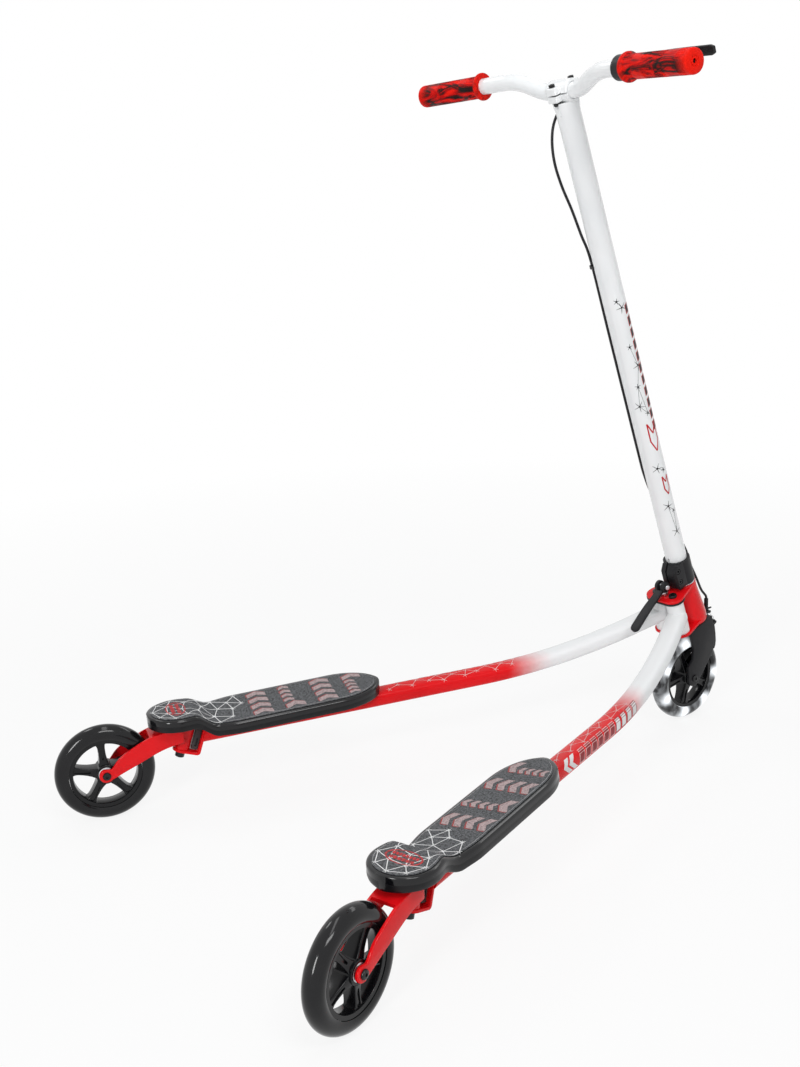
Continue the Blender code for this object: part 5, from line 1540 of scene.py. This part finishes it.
# %% Laying ink on a surface
def lay(bm, corners, surface, lift, pace=4.0):
    """A thin patch between four corners, each in the surface's own (across, along) millimetres."""
    a, b, c, d = (Vector(corner) for corner in corners)
    wide = max(1, ceil(max((b - a).length, (c - d).length) / pace))
    tall = max(1, ceil(max((d - a).length, (c - b).length) / pace))
    grid = []
    for j in range(tall + 1):
        row = [a.lerp(b, i / wide).lerp(d.lerp(c, i / wide), j / tall) for i in range(wide + 1)]
        grid.append([bm.verts.new(surface(spot.x, spot.y, lift)) for spot in row])
    middle = (a + b + c + d) / 4
    outward = surface(middle.x, middle.y, lift + 1) - surface(middle.x, middle.y, lift)
    for low, high in zip(grid, grid[1:]):
        for i in range(wide):
            face = bm.faces.new((low[i], low[i + 1], high[i + 1], high[i]))
            face.normal_update()
            if face.normal.dot(outward) < 0:
                face.normal_flip()


def stroke(bm, start, end, width, surface, lift):
    start, end = Vector(start), Vector(end)
    side = (end - start).normalized() * width / 2
    side = Vector((-side.y, side.x))
    lay(bm, (start - side, start + side, end + side, end - side), surface, lift, 2.5)


def dot(bm, centre, radius, surface, lift):
    rim = [Vector(centre) + radius * Vector((cos(radians(a)), sin(radians(a))))
           for a in range(0, 361, 30)]
    for k in range(0, 12, 2):
        lay(bm, (Vector(centre), *rim[k:k + 3]), surface, lift, radius)


def print_on(bm, name, body, slot, place, paint):
    return set_down(object_from(bm, name), name, place, body, slot, [paint])


print("ready to print")

# %% [markdown]
# The real scooter's words and drawings are not copied. Arrow marks, bars and nets of thin lines take
# their place. A net is a list of spots, and every two spots that are near each other get a line, so
# the net can be changed by moving its spots alone.

# %% Nets of lines
def short_pairs(spots, reach):
    """Every two spots of a net that lie nearer than a reach."""
    return [(a, b) for b in range(len(spots)) for a in range(b)
            if (Vector(spots[a]) - Vector(spots[b])).length < reach]


def star(bm, centre, reach, width, surface, lift, turned_by=0.0):
    """A knot of the net: a dot with five thin rays that taper away."""
    dot(bm, centre, width, surface, lift)
    middle = Vector(centre)
    for k in range(5):
        angle = radians(72 * k + turned_by)
        way, side = Vector((cos(angle), sin(angle))), Vector((-sin(angle), cos(angle)))
        near, far = side * width * 0.45, side * width * 0.12
        lay(bm, (middle - near, middle + near, middle + way * reach + far, middle + way * reach - far),
            surface, lift, 3.0)


print("nets ready")

# %% [markdown]
# Rows of large and small arrow marks run up the sole. Each mark lies over a darker one that has
# slipped a little, as in a print with two plates. A row is a short word of large and small, and is
# squeezed where the deck gets narrow, so that no mark hangs over the tape's edge.

# %% Arrow marks
ROW_START = 119
ROW_PITCH = 50.0
SHADOW_SLIP = 1.4
BORDER_INSET = 8.0
LARGE, SMALL, GAP = (20.0, 29.0), (12.0, 16.0), 1.2
ROWS = ("LLLL", "LSSSS", "LLLL", "SSSSL")


def chevron(bm, x0, x1, u0, u1, surface, lift):
    """An arrow mark made of two slanted bars that meet in a point."""
    bar = 0.6 * (x1 - x0)
    point = x1 - x0 - bar
    middle = (u0 + u1) / 2
    for foot, head in ((u0, middle), (u1, middle)):
        lay(bm, ((x0, foot), (x0 + bar, foot), (x0 + point + bar, head), (x0 + point, head)),
            surface, lift)


def row_places(row, u):
    """Places for a row of large and small arrow marks across the sole."""
    sizes = [LARGE if kind == "L" else SMALL for kind in row]
    total = sum(width for width, _ in sizes) + GAP * (len(sizes) - 1)
    squeeze = min(1.0, 2 * (deck_half(u + LARGE[1] / 2, BORDER_INSET) - 1.5) / total)
    x = -total * squeeze / 2
    for width, height in sizes:
        yield x, x + width * squeeze, u, u + height
        x += (width + GAP) * squeeze


def print_rows(inks, surface):
    for index, row in enumerate(ROWS):
        for x0, x1, u0, u1 in row_places(row, ROW_START + ROW_PITCH * index):
            for name, slip, lift in (("shadow", SHADOW_SLIP, 0.08), ("pink", 0.0, 0.16)):
                chevron(inks[name], x0 + slip, x1 + slip, u0 - slip, u1 - slip, surface, lift)


print(sum(len(row) for row in ROWS), "arrow marks on each deck")

# %% [markdown]
# The heel carries a net of white lines and an oval patch with two rows of slanted bars, and a pale
# line runs round the tape near its edge. That line could be a curve drawn by hand, but between two
# insets of the deck's plan it stays even all round.

# %% Heel net, patch and border
NET = ((-22, -18), (0, -26), (22, -17), (-34, 3), (-12, -5), (14, -3), (34, 5), (-25, 22), (-3, 17),
       (21, 25), (-30, 45), (-9, 40), (12, 47), (29, 42), (-33, 67), (-14, 62), (6, 70), (31, 64),
       (-24, 88), (-2, 92), (20, 87), (34, 100), (9, 108))
NET_LINES = short_pairs(NET, 31.0)
PATCH = (25.0, 14.5)
PATCH_AT = 8.0
PATCH_GAP, PATCH_BAR_TALL, PATCH_BAR_LEAN = 1.0, 5.5, 1.2
PATCH_ROWS = ((PATCH_AT - 7.5, 6, 4.8), (PATCH_AT + 1.0, 8, 3.6))


def oval(share, angle):
    return PATCH[0] * share * cos(radians(angle)), PATCH_AT + PATCH[1] * share * sin(radians(angle))


def print_net(bm, surface):
    for a, b in NET_LINES:
        stroke(bm, NET[a], NET[b], 1.05, surface, 0.2)
    for index, spot in enumerate(NET):
        star(bm, spot, 4.0, 1.5, surface, 0.24, 31 * index)


def print_patch(bm, surface):
    """An oval ring round rows of slanted bars, each row given by its foot, count and bar width."""
    for angle in range(0, 360, 15):
        lay(bm, (oval(0.9, angle), oval(1, angle), oval(1, angle + 15), oval(0.9, angle + 15)),
            surface, 0.26)
    for foot, count, width in PATCH_ROWS:
        for k in range(count):
            x, head = (k - count / 2) * (width + PATCH_GAP), foot + PATCH_BAR_TALL
            lay(bm, ((x, foot), (x + width, foot), (x + width + PATCH_BAR_LEAN, head),
                     (x + PATCH_BAR_LEAN, head)), surface, 0.26)


def print_border(bm, surface):
    edge = deck_stops(BORDER_INSET)
    for sign in (-1, 1):
        for u0, u1 in zip(edge, edge[1:]):
            near, far = deck_half(u0, BORDER_INSET), deck_half(u1, BORDER_INSET)
            lay(bm, ((sign * near, u0), (sign * (near - 0.6), u0), (sign * (far - 0.6), u1),
                     (sign * far, u1)), surface, 0.1, 12.0)


print(len(NET_LINES), "lines on each heel")

# %% [markdown]
# Each ink is gathered in one mesh and set down as one piece, so that it rides with its deck. The
# sheets lie a little higher one above the other, in the order in which they would be printed.

# %% Prints on the decks
DECK_INKS = (("pink", pink_ink), ("shadow", dark_red_ink), ("white", white_ink), ("red", red_ink),
             ("shade", pale_ink))
for side, word in SIDES:
    def on_tape(x, u, lift, side=side):
        return deck_point(side, u, x, TAPE_TOP + lift)

    inks = {name: bmesh.new() for name, _ in DECK_INKS}
    print_rows(inks, on_tape)
    print_net(inks["white"], on_tape)
    print_patch(inks["red"], on_tape)
    print_border(inks["shade"], on_tape)
    for name, paint in DECK_INKS:
        print_on(inks[name], f"deck_print_{name}_{word}", "arm_" + word, "tape", deck_frame(side),
                 paint)
print(2 * len(DECK_INKS), "sheets of ink on the decks")

# %% [markdown]
# ## Marks on the stem and arms
#
# The tubes carry printed films under the clear coat. The tube's own shader could hold them, but a
# noise can't draw a sharp edge. So each film is a thin sheet with a smooth lacquer in the film's
# colour, a little duller than the paint round it.

# %% Transfers
def transfer(name, colour, rough=0.3):
    """A smooth printed film under the clear coat."""
    return lacquer(name, colour, tuple(0.85 * part for part in colour), rough, 0.08, 0.25)


black_film = transfer("black film", (0.010, 0.010, 0.011))
red_film = transfer("red film", (0.55, 0.008, 0.014))
deep_red_film = transfer("deep red film", (0.27, 0.004, 0.010))
white_film = transfer("white film", (0.83, 0.82, 0.82))
pink_film = transfer("pink film", (0.80, 0.47, 0.46))
print("five films")

# %% [markdown]
# The white stem carries thin black lines with a star where they meet, red outlines and a row of
# dashes, all in the lesson's own layout. They could be projected from one side, but that stretches
# them. Each mark is laid in unrolled millimetres instead, and wraps round the tube as a transfer does.

# %% Prints on the stem
STEM_NET = ((146, 745), (166, 734), (158, 672), (180, 640), (152, 608), (137, 576), (172, 562),
            (150, 468), (184, 462), (160, 400), (190, 388), (176, 352))
DASHES = range(532, 727, 19)
OUTLINES = (((150, 545), (174, 527), (198, 545), (198, 515), (174, 497), (150, 515)),
            ((164, 452), (181, 441), (198, 452), (198, 430), (181, 419), (164, 430)))


def on_stem(arc, height, lift):
    radius, angle = STEM_RADIUS + lift, arc / STEM_RADIUS
    return Vector((radius * cos(angle), radius * sin(angle), height))


def unrolled(azimuth, height):
    return (STEM_RADIUS * radians(azimuth), height)


STEM_LINES = short_pairs([unrolled(*spot) for spot in STEM_NET], 52.0)
black_marks, red_marks = bmesh.new(), bmesh.new()
for a, b in STEM_LINES:
    stroke(black_marks, unrolled(*STEM_NET[a]), unrolled(*STEM_NET[b]), 0.5, on_stem, 0.08)
for index, spot in enumerate(STEM_NET):
    star(black_marks, unrolled(*spot), 5.0 + 4.0 * (index % 2), 1.5, on_stem, 0.1, 40 * index)
for height in DASHES:
    (left, _), (right, _) = unrolled(188, 0), unrolled(207, 0)
    for marks, wide, lift in ((red_marks, 1.1, 0.08), (black_marks, 0.0, 0.14)):
        lay(marks, ((left - wide, height - wide), (right + wide, height + 3 - wide),
                    (right + wide, height + 15 + wide), (left - wide, height + 12 + wide)),
            on_stem, lift)
for shape in OUTLINES:
    for a, b in zip(shape, shape[1:] + shape[:1]):
        stroke(red_marks, unrolled(*a), unrolled(*b), 2.1, on_stem, 0.12)
print_on(black_marks, "stem_print_black", "steering", "white_paint", HEAD, black_film)
print_on(red_marks, "stem_print_red", "steering", "white_paint", HEAD, red_film)
print(len(STEM_NET), "stars and", len(DASHES), "dashes on the stem")

# %% [markdown]
# To lay marks on an arm, a place is given as millimetres along it and millimetres up round its skin.
# The arm's own number runs unevenly, so lengths along it and round a quarter of its section are
# measured first and then looked up the other way.

# %% Measure the arm's skin
def run_between(side, q0, q1, steps=60):
    spots = [arm_point(side, q0 + (q1 - q0) * k / steps) for k in range(steps + 1)]
    return sum((b - a).length for a, b in zip(spots, spots[1:]))


ARM_MARKS = [0.0]
for q0, q1 in ((0, 1), (1, 8), (8, 9)):
    ARM_MARKS.append(ARM_MARKS[-1] + run_between(1, q0, q1))
print("arm runs to", [round(mark) for mark in ARM_MARKS], "mm")


def q_at(along):
    """The arm's own parameter at a length along it."""
    for (q0, q1), (a, b) in zip(((0, 1), (1, 8), (8, 9)), zip(ARM_MARKS, ARM_MARKS[1:])):
        if along <= b:
            return q0 + (q1 - q0) * (along - a) / (b - a)
    return 9.0


ARM_SKIN = [0.0]
for degree in range(90):
    (x0, y0), (x1, y1) = [
        (ARM_WIDE * cos(radians(a)) ** ARM_CORNER, ARM_HIGH * sin(radians(a)) ** ARM_CORNER)
        for a in (degree, degree + 1)]
    ARM_SKIN.append(ARM_SKIN[-1] + sqrt((x1 - x0) ** 2 + (y1 - y0) ** 2))
print("quarter of the arm's skin is", round(ARM_SKIN[-1], 1), "mm")

# %% [markdown]
# A mark's corners now become places in space. Wrapping a flat mesh with a modifier would do it too,
# but the tube's own section gives the exact place and the way out of the skin at any point.

# %% A place on the arm's skin
def skin_spot(climb):
    """A point of the arm's section and its way out, climb millimetres up from the outer side."""
    quarter = ARM_SKIN[-1]
    far = quarter < climb
    reach = abs(2 * quarter - climb if far else climb)
    degree = next(k for k in range(90) if reach <= ARM_SKIN[k + 1] or k == 89)
    part = degree + (reach - ARM_SKIN[degree]) / (ARM_SKIN[degree + 1] - ARM_SKIN[degree])
    x, y = cos(radians(part)) ** ARM_CORNER, sin(radians(part)) ** ARM_CORNER
    spot = Vector((ARM_WIDE * x, ARM_HIGH * y))
    out = Vector((x * x / ARM_WIDE, y * y / ARM_HIGH)).normalized()
    flip_x, flip_y = (-1 if far else 1), (-1 if climb < 0 else 1)
    return Vector((spot.x * flip_x, spot.y * flip_y)), Vector((out.x * flip_x, out.y * flip_y))


def arm_skin(side):
    """Maps (climb round the arm, along it) in millimetres to a place on the arm's skin."""
    def place(climb, along, lift):
        centre, across, up = arm_section(side, q_at(along))
        outer = across * (1 if across.x * side > 0 else -1)
        spot, out = skin_spot(climb)
        spot += out * lift
        return centre + outer * spot.x + up * spot.y
    return place


print("left arm's skin at 300 mm:", tuple(round(v) for v in arm_skin(1)(0.0, 300.0, 0.0)))

# %% [markdown]
# The arms' outer sides carry a row of slanted bars that changes from white to dark red where the
# paint turns red, two white arrow marks behind them and a net on top. A bar with a rim could be one
# sheet with two materials, but two sheets, a rim and a smaller core above it, are simpler to lay.

# %% Bars and lines on the arms
BARS = "WWWWRRRRRR"
BARS_FROM = 252.0
BAR_WIDE, BAR_PITCH = 12.5, 18.0
TOP_NET = ((17, 262), (31, 270), (21, 286), (34, 300), (18, 312), (28, 330), (19, 346), (33, 352),
           (23, 372), (34, 388), (17, 396), (28, 412), (19, 430), (32, 440), (23, 462), (31, 478))
TOP_LINES = short_pairs(TOP_NET, 27.0)


def slanted_bar(bm, at, width, grow, surface, lift):
    lay(bm, ((-5 - grow, at - grow), (12 + grow, at - 5 - grow), (12 + grow, at - 5 + width + grow),
             (-5 - grow, at + width + grow)), surface, lift)


for side, word in SIDES:
    skin = arm_skin(side)
    marks = {name: bmesh.new() for name in ("white", "pink", "deep_red")}
    for index, kind in enumerate(BARS):
        at = BARS_FROM + BAR_PITCH * index
        rim, core = ("deep_red", "white") if kind == "W" else ("pink", "deep_red")
        slanted_bar(marks[rim], at, BAR_WIDE, 1.3, skin, 0.1)
        slanted_bar(marks[core], at, BAR_WIDE, -0.3, skin, 0.18)
    at = BARS_FROM + BAR_PITCH * len(BARS)
    for slip in (0.0, 15.0):
        for foot, head in ((-6, 4), (14, 4)):
            lay(marks["white"], ((foot, at + slip + 1), (foot, at + slip + 11), (head, at + slip + 23),
                                 (head, at + slip + 13)), skin, 0.18)
    for a, b in TOP_LINES:
        stroke(marks["pink"], TOP_NET[a], TOP_NET[b], 0.8, skin, 0.12)
    for index, spot in enumerate(TOP_NET):
        star(marks["pink"], spot, 5.0, 1.2, skin, 0.14, 50 * index)
    for name, film in (("white", white_film), ("pink", pink_film), ("deep_red", deep_red_film)):
        print_on(marks[name], f"arm_print_{name}_{word}", "arm_" + word, "red_paint", WORLD, film)
print(len(BARS), "bars and", len(TOP_LINES), "lines on each arm")

# %% [markdown]
# ## Floor
#
# The photograph's ground is plain white. A white floor alone would turn grey under soft light and end
# in a line. So the floor takes the object's shadow near it and, for the camera and for mirrors, fades
# to an even white further out, where its edge never shows.

# %% The floor
FADE_FROM = 0.9
FADE_TO = 2.4
SHADOW_SHARE = 0.86
FLOOR_HALF = 30.0
FLOOR_LEVEL = -0.0004

floor_mesh = bpy.data.meshes.new("floor")
corners = [(x * FLOOR_HALF, y * FLOOR_HALF, FLOOR_LEVEL)
           for x, y in ((-1, -1), (1, -1), (1, 1), (-1, 1))]
floor_mesh.from_pydata(corners, [], [(0, 1, 2, 3)])
floor = put("floor", floor_mesh)
ground = bpy.data.materials.new("pale floor")
ground.use_nodes = True
tree = ground.node_tree
tree.nodes.clear()
matt = add(tree, "BsdfDiffuse", {"Color": (0.86, 0.86, 0.86, 1)})
plain = add(tree, "Emission", {"Color": (1, 1, 1, 1), "Strength": 1.0})
spot = add(tree, "NewGeometry").outputs["Position"]
distance = add(tree, "VectorMath", {0: spot}, operation="LENGTH").outputs["Value"]
whiteness = add(tree, "MapRange", {"Value": distance, "From Min": FADE_FROM, "From Max": FADE_TO,
                                   "To Min": SHADOW_SHARE, "To Max": 1.0}).outputs[0]
rays = add(tree, "LightPath")
seen_here = calc(tree, "MAXIMUM", rays.outputs["Is Camera Ray"], rays.outputs["Is Glossy Ray"])
white_share = calc(tree, "MULTIPLY", whiteness, seen_here)
shown = add(tree, "MixShader", {0: white_share, 1: matt.outputs[0], 2: plain.outputs[0]})
add(tree, "OutputMaterial", {"Surface": shown.outputs[0]})
floor_mesh.materials.append(ground)
print("floor fades from", FADE_FROM, "to", FADE_TO, "m")
